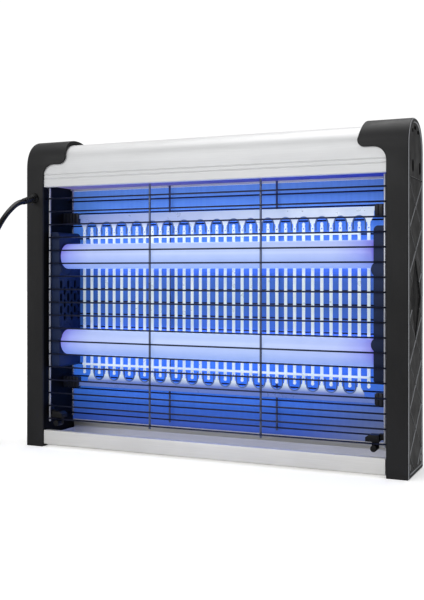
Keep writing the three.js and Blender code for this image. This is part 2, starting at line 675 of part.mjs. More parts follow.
function sweepCord(route, steps) {
  const points = route.map((point) => new THREE.Vector3(...point));
  const path = new THREE.CatmullRomCurve3(points, false, 'centripetal');
  const outline = arc(0, 0, CORD_RADIUS, 0, 315, 7);
  const section = new THREE.Shape(outline.map(([a, b]) => new THREE.Vector2(a, b)));
  return toSolid(new THREE.ExtrudeGeometry(section, { steps, extrudePath: path, bevelEnabled: false }));
}

function strainRelief() {
  const [x, y, z] = CORD_EXIT;
  const collar = rod([x, y + CAP_WALL + 1.6, z], [x, y - 1.4, z], 4.8, 16);
  const start = new THREE.Vector3(...alongExit(-1));
  const end = new THREE.Vector3(...alongExit(BOOT_LENGTH));
  const along = end.clone().sub(start);
  const cone = new THREE.CylinderGeometry(BOOT_TIP, BOOT_BASE, along.length(), 16);
  const direction = along.clone().normalize();
  cone.applyQuaternion(new THREE.Quaternion().setFromUnitVectors(new THREE.Vector3(0, 1, 0), direction));
  const middle = start.add(end).multiplyScalar(0.5);
  return collar.add(toSolid(cone.translate(...middle.toArray())));
}

// The outer shape of the wound coil, or a space larger than it by a margin.
function cordCoil(margin) {
  const inside = COIL_MEAN_RADIUS - COIL_HALF_WIDTH - margin;
  const outside = COIL_MEAN_RADIUS + COIL_HALF_WIDTH + margin;
  const bottom = COIL_BASE - margin;
  const top = COIL_BASE + COIL_HEIGHT + margin;
  const profile = [[inside, bottom + 2], [inside + 2, bottom], [outside - 2, bottom], [outside, bottom + 2],
    [outside, top - 2], [outside - 2, top], [inside + 2, top], [inside, top - 2]];
  const points = [...profile, profile[0]].map(([r, z]) => new THREE.Vector2(r, z));
  const ring = new THREE.LatheGeometry(points, 24).rotateX(Math.PI / 2).translate(...COIL_CENTRE, 0);
  return toSolid(ring);
}

function cordTie() {
  const [cx, cy] = COIL_CENTRE;
  const x0 = cx - COIL_MEAN_RADIUS - COIL_HALF_WIDTH;
  const x1 = cx - COIL_MEAN_RADIUS + COIL_HALF_WIDTH;
  const top = COIL_BASE + COIL_HEIGHT;
  const outside = box([x0 - 1.3, x1 + 1.7], [cy - 3, cy + 3], [0.1, top + 1.4]);
  const inside = box([x0 - GAP, x1 + 0.7], [cy - 4, cy + 4], [COIL_BASE - GAP, top + GAP]);
  return outside.subtract(inside);
}

// From the top of the coil down to the plug's sleeve.
const CORD_TAIL = [
  [-282.2, -90.5, 13.2], [-287.2, -87.2, 12.9], [-292.9, -83.7, 12.1], [-298.6, -80.1, 10.9],
  [-303.9, -76.1, 9.6], [-308.3, -71.8, 8.3], [-311.6, -66.7, 7.3], [-312.9, -62, 6.9], PLUG_START,
];

function plugBody() {
  const [x, y, z] = PLUG_START;
  const front = y + PLUG_SLEEVE + PLUG_LENGTH;
  const back = y + PLUG_SLEEVE;
  const half = PLUG_WIDTH / 2;
  const right = [[6.2, back], [9, back + 8], [half, back + 20], [half, front]];
  const left = right.map(([reach, along]) => [x - reach, along]).reverse();
  const plan = [...right.map(([reach, along]) => [x + reach, along]), ...left];
  const slab = toSolid(extrude(plan, PLUG_THICKNESS).translate(0, 0, z - PLUG_THICKNESS / 2));
  const round = 4;
  const across = [[1, 1], [-1, 1], [-1, -1], [1, -1]].flatMap(([sx, sz], quarter) => {
    const centre = [x + sx * (half - round), z + sz * (PLUG_THICKNESS / 2 - round)];
    return arc(...centre, round, quarter * 90, quarter * 90 + 90, 4);
  });
  const sleeve = rod([x, y + GAP, z], [x, back + 1, z], 3.7, 12);
  return slab.intersect(sweepY(across, back - 1, front + 1)).add(sleeve);
}

function plugPin(side) {
  const [x, y, z] = PLUG_START;
  const front = y + PLUG_SLEEVE + PLUG_LENGTH + GAP;
  const px = x + side * PLUG_PIN_OFFSET;
  return rod([px, front, z], [px, front + 19, z], 2, 12);
}

function addMainsLead() {
  const keepOut = cordCoil(GAP);
  addPart('cord_strain_relief', strainRelief(), MATERIALS.black);
  addPart('power_cord', sweepCord(CORD_ROUTE, 32).subtract(keepOut), MATERIALS.black);
  addPart('cord_coil', cordCoil(0), MATERIALS.black);
  addPart('cord_tie', cordTie(), MATERIALS.black);
  addPart('cord_tail', sweepCord(CORD_TAIL, 8).subtract(keepOut), MATERIALS.black);
  addPart('plug_body', plugBody(), MATERIALS.black);
  addPart('plug_pin_left', plugPin(-1), MATERIALS.brass);
  addPart('plug_pin_right', plugPin(1), MATERIALS.brass);
}

// ---------- assembly ----------
addPart('top_housing', topHousing(), MATERIALS.silver);
addPart('underside_plate', undersidePlate(), MATERIALS.sheet);
addPart('right_end_cap', endCap(), MATERIALS.charcoal);
addPart('left_end_cap', mirrorX(endCap()).subtract(cordHole()), MATERIALS.charcoal);
addPair('inner_cover', innerCover(), MATERIALS.navy);
addPair('lamp_column', lampColumn(), MATERIALS.navy);
for (const [place, point] of Object.entries(SCREW_PLACES)) {
  addPair(`cap_screw_${place}`, capScrew(point), MATERIALS.nickel);
}
addLamps();
const FRONT_UPRIGHT_TOP = HOUSING_BOTTOM - 2 * GAP; // stays under the housing's lip as the guard swings
addPart('front_guard', wireGuard(GUARD_FRONT_Y, [GUARD_WIRES - 1], FRONT_UPRIGHT_TOP), MATERIALS.wire);
addPart('back_guard', wireGuard(GUARD_BACK_Y, [0, GUARD_WIRES - 1], HOUSING_BOTTOM + 1.2), MATERIALS.wire);
addGrid();
addPart('rear_reflector', rearReflector(), MATERIALS.sheet);
addPart('base_channel', baseChannel(), MATERIALS.silver);
addPart('collection_tray', collectionTray(), MATERIALS.silver);
addPair('guard_clip', guardClip(), MATERIALS.black);
addElectrics();
addMainsLead();

export default zapper;
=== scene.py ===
# Electric bug zapper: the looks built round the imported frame. Shapes are worked out in millimetres in the
# frame's own axes, and turned into metres when a piece is made.
from math import copysign, cos, dist, hypot, pi, radians, sin

import bmesh
import bpy
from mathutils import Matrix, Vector


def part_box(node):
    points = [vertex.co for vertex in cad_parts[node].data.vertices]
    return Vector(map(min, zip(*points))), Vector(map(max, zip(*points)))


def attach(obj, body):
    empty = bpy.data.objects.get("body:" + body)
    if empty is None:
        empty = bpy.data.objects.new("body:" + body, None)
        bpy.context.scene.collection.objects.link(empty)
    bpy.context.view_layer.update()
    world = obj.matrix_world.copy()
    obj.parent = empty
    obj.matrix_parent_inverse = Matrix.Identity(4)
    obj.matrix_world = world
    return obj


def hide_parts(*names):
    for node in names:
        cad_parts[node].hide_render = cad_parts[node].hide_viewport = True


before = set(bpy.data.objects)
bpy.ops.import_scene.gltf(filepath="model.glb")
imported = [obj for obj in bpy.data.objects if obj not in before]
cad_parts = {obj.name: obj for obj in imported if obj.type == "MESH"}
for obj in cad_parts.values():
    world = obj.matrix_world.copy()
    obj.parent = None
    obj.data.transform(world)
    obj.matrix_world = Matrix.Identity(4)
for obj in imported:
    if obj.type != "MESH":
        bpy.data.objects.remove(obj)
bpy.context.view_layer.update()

SCENE = bpy.context.scene
MM = 0.001
SIDES = (-1, 1)
SIDE_NAME = {-1: "left", 1: "right"}


# ---- places read from the frame
def box_mm(node):
    low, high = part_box(node)
    return Vector(low) / MM, Vector(high) / MM


CAP_HIGH = box_mm("right_end_cap")[1]
HOUSING_LOW, HOUSING_HIGH = box_mm("top_housing")
SHEET_LOW, SHEET_HIGH = box_mm("rear_reflector")
TUBE_HEIGHT = {which: sum(v.z for v in box_mm(f"uv_tube_{which}")) / 2 for which in ("upper", "lower")}
TUBE_LOW, TUBE_HIGH = box_mm("uv_tube_upper")
TUBE_Y = (TUBE_LOW.y + TUBE_HIGH.y) / 2
TUBE_END = TUBE_HIGH.x
DISC_LOW, DISC_HIGH = box_mm("upper_tube_cap_right")
TUBE_RADIUS = (TUBE_HIGH.z - TUBE_LOW.z) / 2

HALF_SPAN = CAP_HIGH.x
HALF_DEPTH = CAP_HIGH.y
HEIGHT = CAP_HIGH.z
GAP = 0.3
WELD = 1e-6  # metres
WINDOW_HALF = HOUSING_HIGH.x + GAP

# ---- driving sizes that the frame doesn't list
ARCH_POWER = 2.3
ARCH_STEPS = 56
CAP_WALL = 2.2
CAP_BEND = 288
CAP_EDGE = 1.7
SIDE_FACE = HALF_SPAN - 0.7
SIDE_RIM = 4.0
TAB_REACH = 26.2
TAB_EDGE = 292
TAB_FILLET = 12
TAB_CORNER = 7
TAB_LEAN = 4.5
HOUSING_BEND = 286
HOUSING_WALL = 1.6
HOUSING_LIP = 22
GROOVE_HEIGHTS = (277.4, 281.4)
GUARD_WIRES = 18
GUARD_FIRST = 28.4
GUARD_PITCH = 13.46
GUARD_HALF = 176.6
GUARD_WIRE = 0.8
UPRIGHT = 1.1
GUARD_Y = {"front": -22.8, "back": 21.2}
SCREW_PLACES = {"front": (-23.4, 10), "back": (23.4, 10)}
BAR_COUNT = 35
BAR_PITCH = 9.06
BAR_WIDTH = 3.0
COMB_DEPTH = 1.0
COMB_Y = box_mm("grid_comb_upper")[1].y - COMB_DEPTH
TIE_LIFT = 1.4
RAIL_END = 3.8
WAIST_HEIGHTS = (224.8, 76.6)
HOLE_HEIGHTS = (222.2, 79.2)
HOLE_RADIUS = 0.75
RAILS = {"upper": (241.8, 233.4), "lower": (59.6, 67.6)}
TIES = {"upper": 83.4, "lower": 217}
TIPS = {"upper": 73, "lower": 228.2}
FIRST_BAR = {"upper": 0, "lower": 1}
POCKET = 5.9
RAIL_HALF = 165
RAIL_SHOULDER = 3.4
WAIST_DEPTH = 0.45
WAIST_HALF = 1.4
TIE_HALF = 1.1
DISC_DEPTH = 1.4
TUBE_HALF = DISC_LOW.x + DISC_DEPTH
MOUTH_TURN = 2.2
PIN_OFFSET = 6.35

# ---- camera
CAMERA_AT = (367.7, -823.0, 181.6)
CAMERA_AZIMUTH = 24.13
LENS = 54.82
SHIFT_Y = -0.0477


def add_object(name, data):
    obj = bpy.data.objects.new(name, data)
    SCENE.collection.objects.link(obj)
    return obj


def add_camera():
    data = bpy.data.cameras.new("camera")
    data.lens = LENS
    data.sensor_width = 36
    data.shift_y = SHIFT_Y
    data.clip_start = 0.01
    data.dof.use_dof = False
    camera = add_object("camera", data)
    camera.location = Vector(CAMERA_AT) * MM
    camera.rotation_euler = (radians(90), 0, radians(CAMERA_AZIMUTH))
    SCENE.camera = camera


add_camera()


# ---- outlines
def arc(cx, cy, radius, start, end, steps):
    points = []
    for i in range(steps + 1):
        angle = radians(start + (end - start) * i / steps)
        points.append((cx + radius * cos(angle), cy + radius * sin(angle)))
    return points


def arch(half_depth, shoulder, top, steps=ARCH_STEPS):
    """The rounded top, from the front shoulder over to the back one, as (y, z) points."""
    points = []
    for i in range(steps + 1):
        angle = pi * i / steps
        across = copysign(abs(cos(angle)) ** (2 / ARCH_POWER), cos(angle))
        up = sin(angle) ** (2 / ARCH_POWER) if 0 < i < steps else 0.0
        points.append((-half_depth * across, shoulder + (top - shoulder) * up))
    return points


def stadium(cx, cy, width, height, steps=8):
    radius = width / 2
    reach = height / 2 - radius
    return arc(cx, cy + reach, radius, 0, 180, steps) + arc(cx, cy - reach, radius, 180, 360, steps)


def rounded(low, high, radius, steps=5):
    """A rectangle with rounded corners, from its lowest and highest (a, b) corners."""
    (a0, b0), (a1, b1) = low, high
    corners = ((a1 - radius, b1 - radius, 0), (a0 + radius, b1 - radius, 90),
               (a0 + radius, b0 + radius, 180), (a1 - radius, b0 + radius, 270))
    points = []
    for a, b, start in corners:
        points += arc(a, b, radius, start, start + 90, steps)
    return points


def distinct(points, least=1e-4):
    kept = []
    for point in points:
        if not kept or dist(point, kept[-1]) > least:
            kept.append(point)
    if dist(kept[0], kept[-1]) <= least:
        kept.pop()
    return kept


# ---- solids, as bmesh in metres
def loft(rings, closed=True):
    """A solid through rings of equal length, with a flat face at each end where closed is true."""
    bm = bmesh.new()
    made = [[bm.verts.new(Vector(point) * MM) for point in ring] for ring in rings]
    for ring, following in zip(made, made[1:]):
        for i in range(len(ring)):
            j = (i + 1) % len(ring)
            bm.faces.new((ring[i], ring[j], following[j], following[i]))
    if closed:
        bm.faces.new(made[0])
        bm.faces.new(made[-1])
    bmesh.ops.remove_doubles(bm, verts=bm.verts, dist=WELD)
    bmesh.ops.recalc_face_normals(bm, faces=bm.faces)
    return bm


def place(axis, a, b, along):
    """A point of an outline drawn across an axis: (y, z) across X, (x, z) across Y and (x, y) across Z."""
    return {"X": (along, a, b), "Y": (a, along, b), "Z": (a, b, along)}[axis]


def prism(outline, axis, low, high):
    outline = distinct(outline)
    return loft([[place(axis, a, b, level) for a, b in outline] for level in (low, high)])


def block(low, high):
    corners = [(low[0], low[1]), (high[0], low[1]), (high[0], high[1]), (low[0], high[1])]
    return prism(corners, "Z", low[2], high[2])


def lathe(profile, centre, direction, sides=32):
    """A solid from (radius, distance) points that start and end on the axis, or that close on themselves."""
    turn = Vector((0, 0, 1)).rotation_difference(Vector(direction).normalized()).to_matrix()
    rings = []
    for radius, along in profile:
        ring = []
        for i in range(sides):
            angle = 2 * pi * i / sides
            local = Vector((radius * cos(angle), radius * sin(angle), along))
            ring.append(Vector(centre) + turn @ local)
        rings.append(ring)
    if profile[0][0] > 1e-6:
        rings.append(rings[0])
    return loft(rings, closed=False)


def rod(start, end, radius, sides=12, nose=0.35):
    """A round bar with slightly rounded ends, or with square ones where nose is 0."""
    along = Vector(end) - Vector(start)
    length = along.length
    if not nose:
        return lathe([(0, 0), (radius, 0), (radius, length), (0, length)], start, along, sides)
    nose = nose * radius
    profile = [(0, 0), (radius - nose, 0), (radius, nose),
               (radius, length - nose), (radius - nose, length), (0, length)]
    return lathe(profile, start, along, sides)


def join(shapes):
    """All the shapes in one bmesh, as separate solids."""
    whole = bmesh.new()
    for shape in shapes:
        mesh = bpy.data.meshes.new("joining")
        shape.to_mesh(mesh)
        shape.free()
        whole.from_mesh(mesh)
        bpy.data.meshes.remove(mesh)
    return whole


def combine(bm, tool, operation="DIFFERENCE"):
    """Boolean of two closed solids. Both are used up."""
    objects = []
    for shape in (bm, tool):
        if not all(edge.is_manifold for edge in shape.edges):
            raise ValueError("a solid in a boolean is not closed")
        mesh = bpy.data.meshes.new("boolean")
        bmesh.ops.triangulate(shape, faces=shape.faces)
        shape.to_mesh(mesh)
        shape.free()
        objects.append(add_object("boolean", mesh))
    target, cutter = objects
    modifier = target.modifiers.new("boolean", "BOOLEAN")
    modifier.solver = "MANIFOLD"
    modifier.operation = operation
    modifier.object = cutter
    view_layer = bpy.context.evaluated_depsgraph_get()
    result = bpy.data.meshes.new_from_object(target.evaluated_get(view_layer))
    out = bmesh.new()
    out.from_mesh(result)
    for obj in objects:
        mesh = obj.data
        bpy.data.objects.remove(obj)
        bpy.data.meshes.remove(mesh)
    bpy.data.meshes.remove(result)
    return out


def merge_flats(bm, angle=0.6):
    """Joins the faces that lie in one plane."""
    bmesh.ops.remove_doubles(bm, verts=bm.verts, dist=2 * WELD)
    bmesh.ops.dissolve_limit(bm, angle_limit=radians(angle), verts=bm.verts, edges=bm.edges)
    return bm


def soften(bm, width, segments=2, angle=30, clamp=True):
    """Rounds every edge that is sharper than the angle."""
    edges = [e for e in bm.edges if len(e.link_faces) == 2 and e.calc_face_angle(0) > radians(angle)]
    bmesh.ops.bevel(bm, geom=edges, offset=width * MM, offset_type="OFFSET", segments=segments, profile=0.5,
                    affect="EDGES", clamp_overlap=clamp)
    return bm


def mirrored(bm, side):
    """The solid as it is for the right-hand side, or mirrored for the left."""
    if side < 0:
        bmesh.ops.scale(bm, vec=(-1, 1, 1), verts=bm.verts)
        bmesh.ops.reverse_faces(bm, faces=bm.faces)
    return bm


def from_node(node):
    """A copy of a CAD node's shape with its flat faces whole again."""
    bm = bmesh.new()
    bm.from_mesh(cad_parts[node].data)
    return merge_flats(bm)


def finished(node, width, segments=2, angle=30, side=1):
    """A CAD node's shape with its sharp edges rounded, as it is or mirrored for the left."""
    return mirrored(soften(from_node(node), width, segments, angle), side)


def piece(name, bm, material, stands_for=(), body="frame", angle=32):
    for face in bm.faces:
        face.smooth = True
    for edge in bm.edges:
        if len(edge.link_faces) == 2:
            edge.smooth = edge.calc_face_angle(0) < radians(angle)
    mesh = bpy.data.meshes.new(name)
    bm.to_mesh(mesh)
    bm.free()
    mesh.materials.append(material)
    return belong(add_object(name, mesh), stands_for, body)


def belong(obj, stands_for=(), body="frame"):
    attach(obj, body)
    if stands_for:
        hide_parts(*stands_for)
    return obj


# ---- materials
def linear(red, green, blue):
    """A display colour of 0 to 255 as the light that shows it."""
    values = []
    for value in (red, green, blue):
        share = value / 255
        values.append(share / 12.92 if share <= 0.04045 else ((share + 0.055) / 1.055) ** 2.4)
    return (*values, 1.0)


def grey(value):
    return (value, value, value, 1)


def put(node, values):
    for name, value in values.items():
        node.inputs[name].default_value = value


class Maker:
    """Builds one node material round a Principled shader."""

    def __init__(self, name, metallic=0.0, roughness=0.5, specular=0.5, coat=0.0):
        self.material = bpy.data.materials.new(name)
        self.material.use_nodes = True
        self.tree = self.material.node_tree
        self.shader = self.tree.nodes["Principled BSDF"]
        put(self.shader, {"Metallic": metallic, "Roughness": roughness,
                          "Specular IOR Level": specular, "Coat Weight": coat})
        self.place = self.tree.nodes.new("ShaderNodeTexCoord").outputs["Object"]

    def add(self, kind, **settings):
        node = self.tree.nodes.new("ShaderNode" + kind)
        for name, value in settings.items():
            setattr(node, name, value)
        return node

    def wire(self, source, target):
        self.tree.links.new(source, target)

    def noise(self, scale, detail=3.0, stretch=(1, 1, 1)):
        mapping = self.add("Mapping")
        put(mapping, {"Scale": stretch})
        self.wire(self.place, mapping.inputs["Vector"])
        texture = self.add("TexNoise")
        put(texture, {"Scale": scale, "Detail": detail})
        self.wire(mapping.outputs["Vector"], texture.inputs["Vector"])
        return texture.outputs["Fac"]

    def ramp(self, source, stops):
        node = self.add("ValToRGB")
        elements = node.color_ramp.elements
        while len(elements) < len(stops):
            elements.new(0.5)
        for element, (position, colour) in zip(elements, stops):
            element.position = position
            element.color = colour
        self.wire(source, node.inputs["Fac"])
        return node.outputs["Color"]

    def span(self, source, low, high, out_low=0.0, out_high=1.0):
        node = self.add("MapRange")
        put(node, {"From Min": low, "From Max": high, "To Min": out_low, "To Max": out_high})
        self.wire(source, node.inputs["Value"])
        return node.outputs["Result"]

    def axis(self, name, source=None):
        node = self.add("SeparateXYZ")
        self.wire(source or self.place, node.inputs["Vector"])
        return node.outputs[name]

    def facing(self, name):
        """How far the surface faces along an axis, from -1 to 1."""
        return self.axis(name, self.add("TexCoord").outputs["Normal"])

    def size(self, source):
        node = self.add("Math", operation="ABSOLUTE")
        self.wire(source, node.inputs[0])
        return node.outputs[0]

    def times(self, first, second):
        node = self.add("Math", operation="MULTIPLY")
        self.wire(first, node.inputs[0])
        self.wire(second, node.inputs[1])
        return node.outputs[0]

    def blend(self, factor, first, second):
        """From the first colour to the second. Each may be a socket or a plain value."""
        node = self.add("Mix", data_type="RGBA")
        for name, value in (("Factor", factor), ("A", first), ("B", second)):
            if isinstance(value, bpy.types.NodeSocket):
                self.wire(value, node.inputs[name])
            else:
                node.inputs[name].default_value = value
        return node.outputs["Result"]

    def mottled(self, source, dark, light):
        """A display colour that changes to another where the noise is high."""
        return self.ramp(source, ((0.3, linear(*dark)), (0.7, linear(*light))))

    def streaked(self, streak, share, base, line):
        """Fine lines of another colour over the base."""
        return self.blend(self.span(streak, 0.35, 0.65, 0.0, share), base, line)

    def colour(self, source):
        self.wire(source, self.shader.inputs["Base Color"])

    def rough(self, source, low, high):
        self.wire(self.span(source, 0.3, 0.7, low, high), self.shader.inputs["Roughness"])

    def glow(self, source, strength):
        self.wire(source, self.shader.inputs["Emission Color"])
        self.shader.inputs["Emission Strength"].default_value = strength

    def bumps(self, *layers):
        """Each layer is (height, strength, depth in millimetres)."""
        normal = None
        for height, strength, depth in layers:
            node = self.add("Bump")
            put(node, {"Strength": strength, "Distance": depth * MM})
            self.wire(height, node.inputs["Height"])
            if normal:
                self.wire(normal, node.inputs["Normal"])
            normal = node.outputs["Normal"]
        self.wire(normal, self.shader.inputs["Normal"])


GRAIN = 900


def moulded(name, dark, light, rough, specular=0.35):
    """Moulded plastic with a fine even grain and slight cloudiness."""
    m = Maker(name, specular=specular)
    m.colour(m.mottled(m.noise(14, 4), dark, light))
    m.rough(m.noise(60, 5), *rough)
    m.bumps((m.noise(GRAIN, 2), 0.35, 0.12), (m.noise(GRAIN / 7, 3), 0.1, 0.24))
    return m.material


def drawn_finish(m, base, rough, stretch=(0.02, 1, 1)):
    """Fine lines along the metal, as extruding or rolling leaves them."""
    streak = m.noise(1400, 4, stretch)
    m.colour(m.streaked(streak, 0.05, base, (0.02, 0.02, 0.025, 1)))
    m.rough(m.noise(40, 4, (0.3, 1, 1)), *rough)
    m.bumps((streak, 0.12, 0.02))
    return m.material


def drawn_metal(name, dark, light, metallic, rough=(0.28, 0.42), stretch=(0.02, 1, 1)):
    m = Maker(name, metallic=metallic)
    return drawn_finish(m, m.mottled(m.noise(9, 3), dark, light), rough, stretch)


def housing_metal():
    """Drawn aluminium with a painted highlight: paler where it turns up towards the light."""
    m = Maker("housing_aluminium", metallic=0.15)
    base = m.mottled(m.noise(9, 3), (206, 207, 208), (216, 217, 218))
    # Painted highlight: the base colour is paler where the surface faces up.
    base = m.blend(m.span(m.facing("Z"), 0.4, 0.85), base, linear(235, 235, 236))
    return drawn_finish(m, base, (0.3, 0.4))


def underside_metal():
    """The sheet under the housing: painted tube light, violet at the left, deep blue at the right."""
    m = Maker("underside_metal", metallic=0.15, specular=0.15)
    along = m.span(m.axis("X"), -0.18, 0.18)
    # Painted light: the tubes' glow on the sheet, violet at the left and deep blue at the right, given as
    # emission below.
    lit = m.ramp(along, ((0.0, linear(124, 116, 168)), (0.5, linear(66, 70, 150)),
                         (1.0, linear(6, 38, 168))))
    streak = m.noise(900, 4, (0.02, 1, 1))
    shade = m.span(streak, 0.35, 0.65, 0.0, 0.25)
    m.colour(m.blend(shade, (0.06, 0.06, 0.2, 1), (0.03, 0.04, 0.16, 1)))
    m.glow(m.blend(shade, lit, (0.02, 0.03, 0.2, 1)), 0.7)
    m.rough(m.noise(40, 4), 0.55, 0.7)
    m.bumps((streak, 0.15, 0.03))
    return m.material


# Where the painted highlight on the caps' outer corners starts.
CORNER_HIGHLIGHT_START = (0.1991, 0.1993)  # metres from the middle: only the outer corner lies further out


def cap_plastic():
    """Fine-grained black plastic, with a painted highlight where the long corners turn."""
    m = Maker("cap_plastic", specular=0.22)
    face = m.mottled(m.noise(14, 4), (29, 29, 30), (37, 37, 38))
    across = m.size(m.facing("X"))
    # Painted highlight: a pale line along the long outer corners, where the surface turns from front to
    # side.
    corner = m.ramp(across, ((0.3, grey(0)), (0.55, grey(1)), (0.85, grey(1)), (0.97, grey(0))))
    corner = m.times(corner, m.span(m.size(m.axis("X")), *CORNER_HIGHLIGHT_START))
    m.colour(m.blend(corner, face, linear(150, 152, 156)))
    m.rough(m.noise(60, 5), 0.34, 0.48)
    m.bumps((m.noise(GRAIN, 2), 0.35, 0.12), (m.noise(128, 3), 0.1, 0.24))
    return m.material


def upright_metal():
    """Plated uprights. The outer two are painted paler than the two in the middle, a painted highlight for
    the light they catch.
    """
    m = Maker("guard_upright", metallic=0.6)
    # Painted highlight: the outer two uprights get the paler colour.
    outer = m.span(m.size(m.axis("X")), 0.1, 0.16)
    streak = m.noise(700, 3, (1, 1, 0.02))
    base = m.blend(outer, linear(104, 112, 136), linear(196, 198, 206))
    m.colour(m.streaked(streak, 0.1, base, linear(70, 76, 96)))
    m.rough(m.noise(60, 4), 0.25, 0.4)
    m.bumps((streak, 0.12, 0.02))
    return m.material


def tube_glass():
    """Lit phosphor: near white in the middle, violet at the ends, and bluer underneath as painted shade."""
    m = Maker("tube_glass", roughness=0.2, specular=0.35)
    end = m.span(m.size(m.axis("X")), 0.05, TUBE_HALF * MM)
    along = m.ramp(end, ((0.0, linear(188, 210, 255)), (0.7, linear(182, 200, 252)),
                         (0.9, linear(148, 160, 246)), (1.0, linear(100, 92, 212))))
    haze = m.noise(55, 4)
    lit = m.blend(m.span(haze, 0.3, 0.7, 0.0, 0.06), along, linear(214, 228, 255))
    # Painted shade: the glow is bluer where the tube faces down.
    lit = m.blend(m.span(m.facing("Z"), 0.2, -0.95, 0.0, 0.65), lit, linear(112, 156, 240))
    m.glow(lit, 0.82)
    m.colour(m.ramp(haze, ((0.3, (0.10, 0.11, 0.2, 1)), (0.7, (0.13, 0.14, 0.24, 1)))))
    m.bumps((haze, 0.05, 0.05))
    return m.material


def reflector_painted_light():
    """The satin sheet: blue painted light of the tubes in front, deeper near the base, bare metal behind."""
    m = Maker("reflector_painted_light", metallic=0.35, roughness=0.35)
    height = m.span(m.axis("Z"), 0.02, 0.27)
    # Painted light: the blue up the front of the sheet stands for the tubes' glow, brighter in two bands.
    blue = m.ramp(height, ((0.0, linear(56, 84, 170)), (0.2, linear(72, 140, 255)),
                           (0.34, linear(58, 102, 176)), (0.7, linear(58, 100, 172)),
                           (0.85, linear(90, 150, 244)), (1.0, linear(92, 136, 216))))
    # Painted light: a duller blue towards the right.
    right = m.span(m.axis("X"), 0.02, 0.18, 0.0, 0.35)
    blue = m.blend(right, blue, linear(60, 92, 172))
    # Painted shade: greyer towards the lower right corner.
    corner = m.times(m.span(m.axis("X"), 0.08, 0.17), m.span(m.axis("Z"), 0.075, 0.03))
    blue = m.blend(corner, blue, linear(112, 122, 150))
    back = m.span(m.facing("Y"), -0.2, 0.4)
    streak = m.noise(260, 4, (1, 1, 0.03))
    face = m.streaked(streak, 0.2, blue, linear(40, 70, 170))
    m.colour(m.blend(back, face, linear(186, 190, 196)))
    # Painted light: the front glows with the same blue.
    m.glow(m.blend(back, blue, grey(0)), 0.42)
    m.rough(m.noise(30, 4), 0.28, 0.45)
    m.bumps((streak, 0.15, 0.05))
    return m.material


def comb_painted_glow():
    """Bright plate with the tubes' light painted on as a glow. The rails are bluer than the bars, most of
    all on the left.
    """
    m = Maker("comb_painted_glow", metallic=0.5, roughness=0.3)
    height = m.axis("Z")
    ends = ((0.0, grey(1)), (0.06, grey(1)), (0.09, grey(0)), (0.9, grey(0)), (0.93, grey(0.75)))
    rails = m.ramp(m.span(height, 0.055, 0.245), ends)
    left = m.span(m.axis("X"), -0.16, 0.1, 1.0, 0.35)
    left = m.blend(m.span(height, 0.12, 0.08), left, grey(0.85))
    share = m.times(rails, left)
    base = m.mottled(m.noise(30, 4), (206, 214, 210), (238, 238, 222))
    m.colour(m.blend(share, base, linear(58, 88, 176)))
    # Painted light: the whole plate glows, paler on the bars and bluer on the rails.
    m.glow(m.blend(share, linear(176, 202, 228), linear(60, 98, 180)), 0.4)
    m.rough(m.noise(90, 4), 0.25, 0.42)
    m.bumps((m.noise(500, 3), 0.15, 0.04))
    return m.material


def glossy_cord():
    m = Maker("cord_rubber", specular=0.35, coat=0.12)
    m.colour(m.mottled(m.noise(40, 3), (7, 7, 8), (14, 14, 15)))
    m.rough(m.noise(120, 4), 0.2, 0.34)
    m.bumps((m.noise(300, 3), 0.12, 0.08))
    return m.material


def board_green():
    m = Maker("board_green", roughness=0.4)
    m.colour(m.ramp(m.noise(220, 2, (1, 0.2, 1)), ((0.44, linear(24, 84, 44)), (0.56, linear(60, 120, 66)))))
    m.rough(m.noise(80, 3), 0.3, 0.5)
    m.bumps((m.noise(240, 2), 0.3, 0.1))
    return m.material


MAT = {
    "cap": cap_plastic(),
    "housing": housing_metal(),
    "tray": drawn_metal("tray_aluminium", (214, 213, 210), (228, 227, 224), 0.12),
    "sheet": underside_metal(),
    "reflector": reflector_painted_light(),
    "wire": drawn_metal("guard_wire", (28, 32, 52), (44, 50, 76), 0.6, (0.25, 0.4)),
    "upright": upright_metal(),
    "comb": comb_painted_glow(),
    "rim": drawn_metal("comb_rim", (84, 110, 160), (110, 140, 190), 0.6),
    "glass": tube_glass(),
    "nickel": drawn_metal("tube_cap_metal", (140, 140, 160), (176, 176, 196), 0.9, stretch=(1, 1, 1)),
    "navy": moulded("inner_plastic", (18, 31, 62), (27, 44, 82), (0.4, 0.55), 0.2),
    "cover": moulded("cover_plastic", (7, 7, 9), (12, 12, 15), (0.45, 0.6), 0.12),
    "insulator": moulded("insulator_plastic", (20, 22, 30), (30, 33, 44), (0.3, 0.45)),
    "clip": moulded("clip_plastic", (8, 8, 10), (14, 14, 17), (0.3, 0.45), 0.25),
    "screw": drawn_metal("screw_steel", (165, 168, 172), (198, 200, 204), 0.95, stretch=(1, 1, 1)),
    "cord": glossy_cord(),
    "plug": moulded("plug_plastic", (16, 16, 18), (25, 25, 28), (0.35, 0.5)),
    "brass": drawn_metal("pin_brass", (186, 150, 78), (214, 180, 104), 0.95, stretch=(1, 0.05, 1)),
    "ballast": drawn_metal("ballast_enamel", (222, 222, 216), (236, 236, 230), 0.1),
    "resin": moulded("potting_resin", (18, 18, 20), (30, 30, 33), (0.2, 0.35)),
    "board": board_green(),
    "terminal": moulded("terminal_plastic", (205, 205, 198), (226, 226, 220), (0.4, 0.55)),
}

# ---- mains lead
CORD_RADIUS = 2.75
CORD_EXIT = Vector((-(WINDOW_HALF + HALF_SPAN) / 2, -HALF_DEPTH, 257.6))
BOOT_LENGTH = 21
EXIT_WAY = Vector((0, -1, -0.24)).normalized()
COIL_CENTRE = (-263, -63)
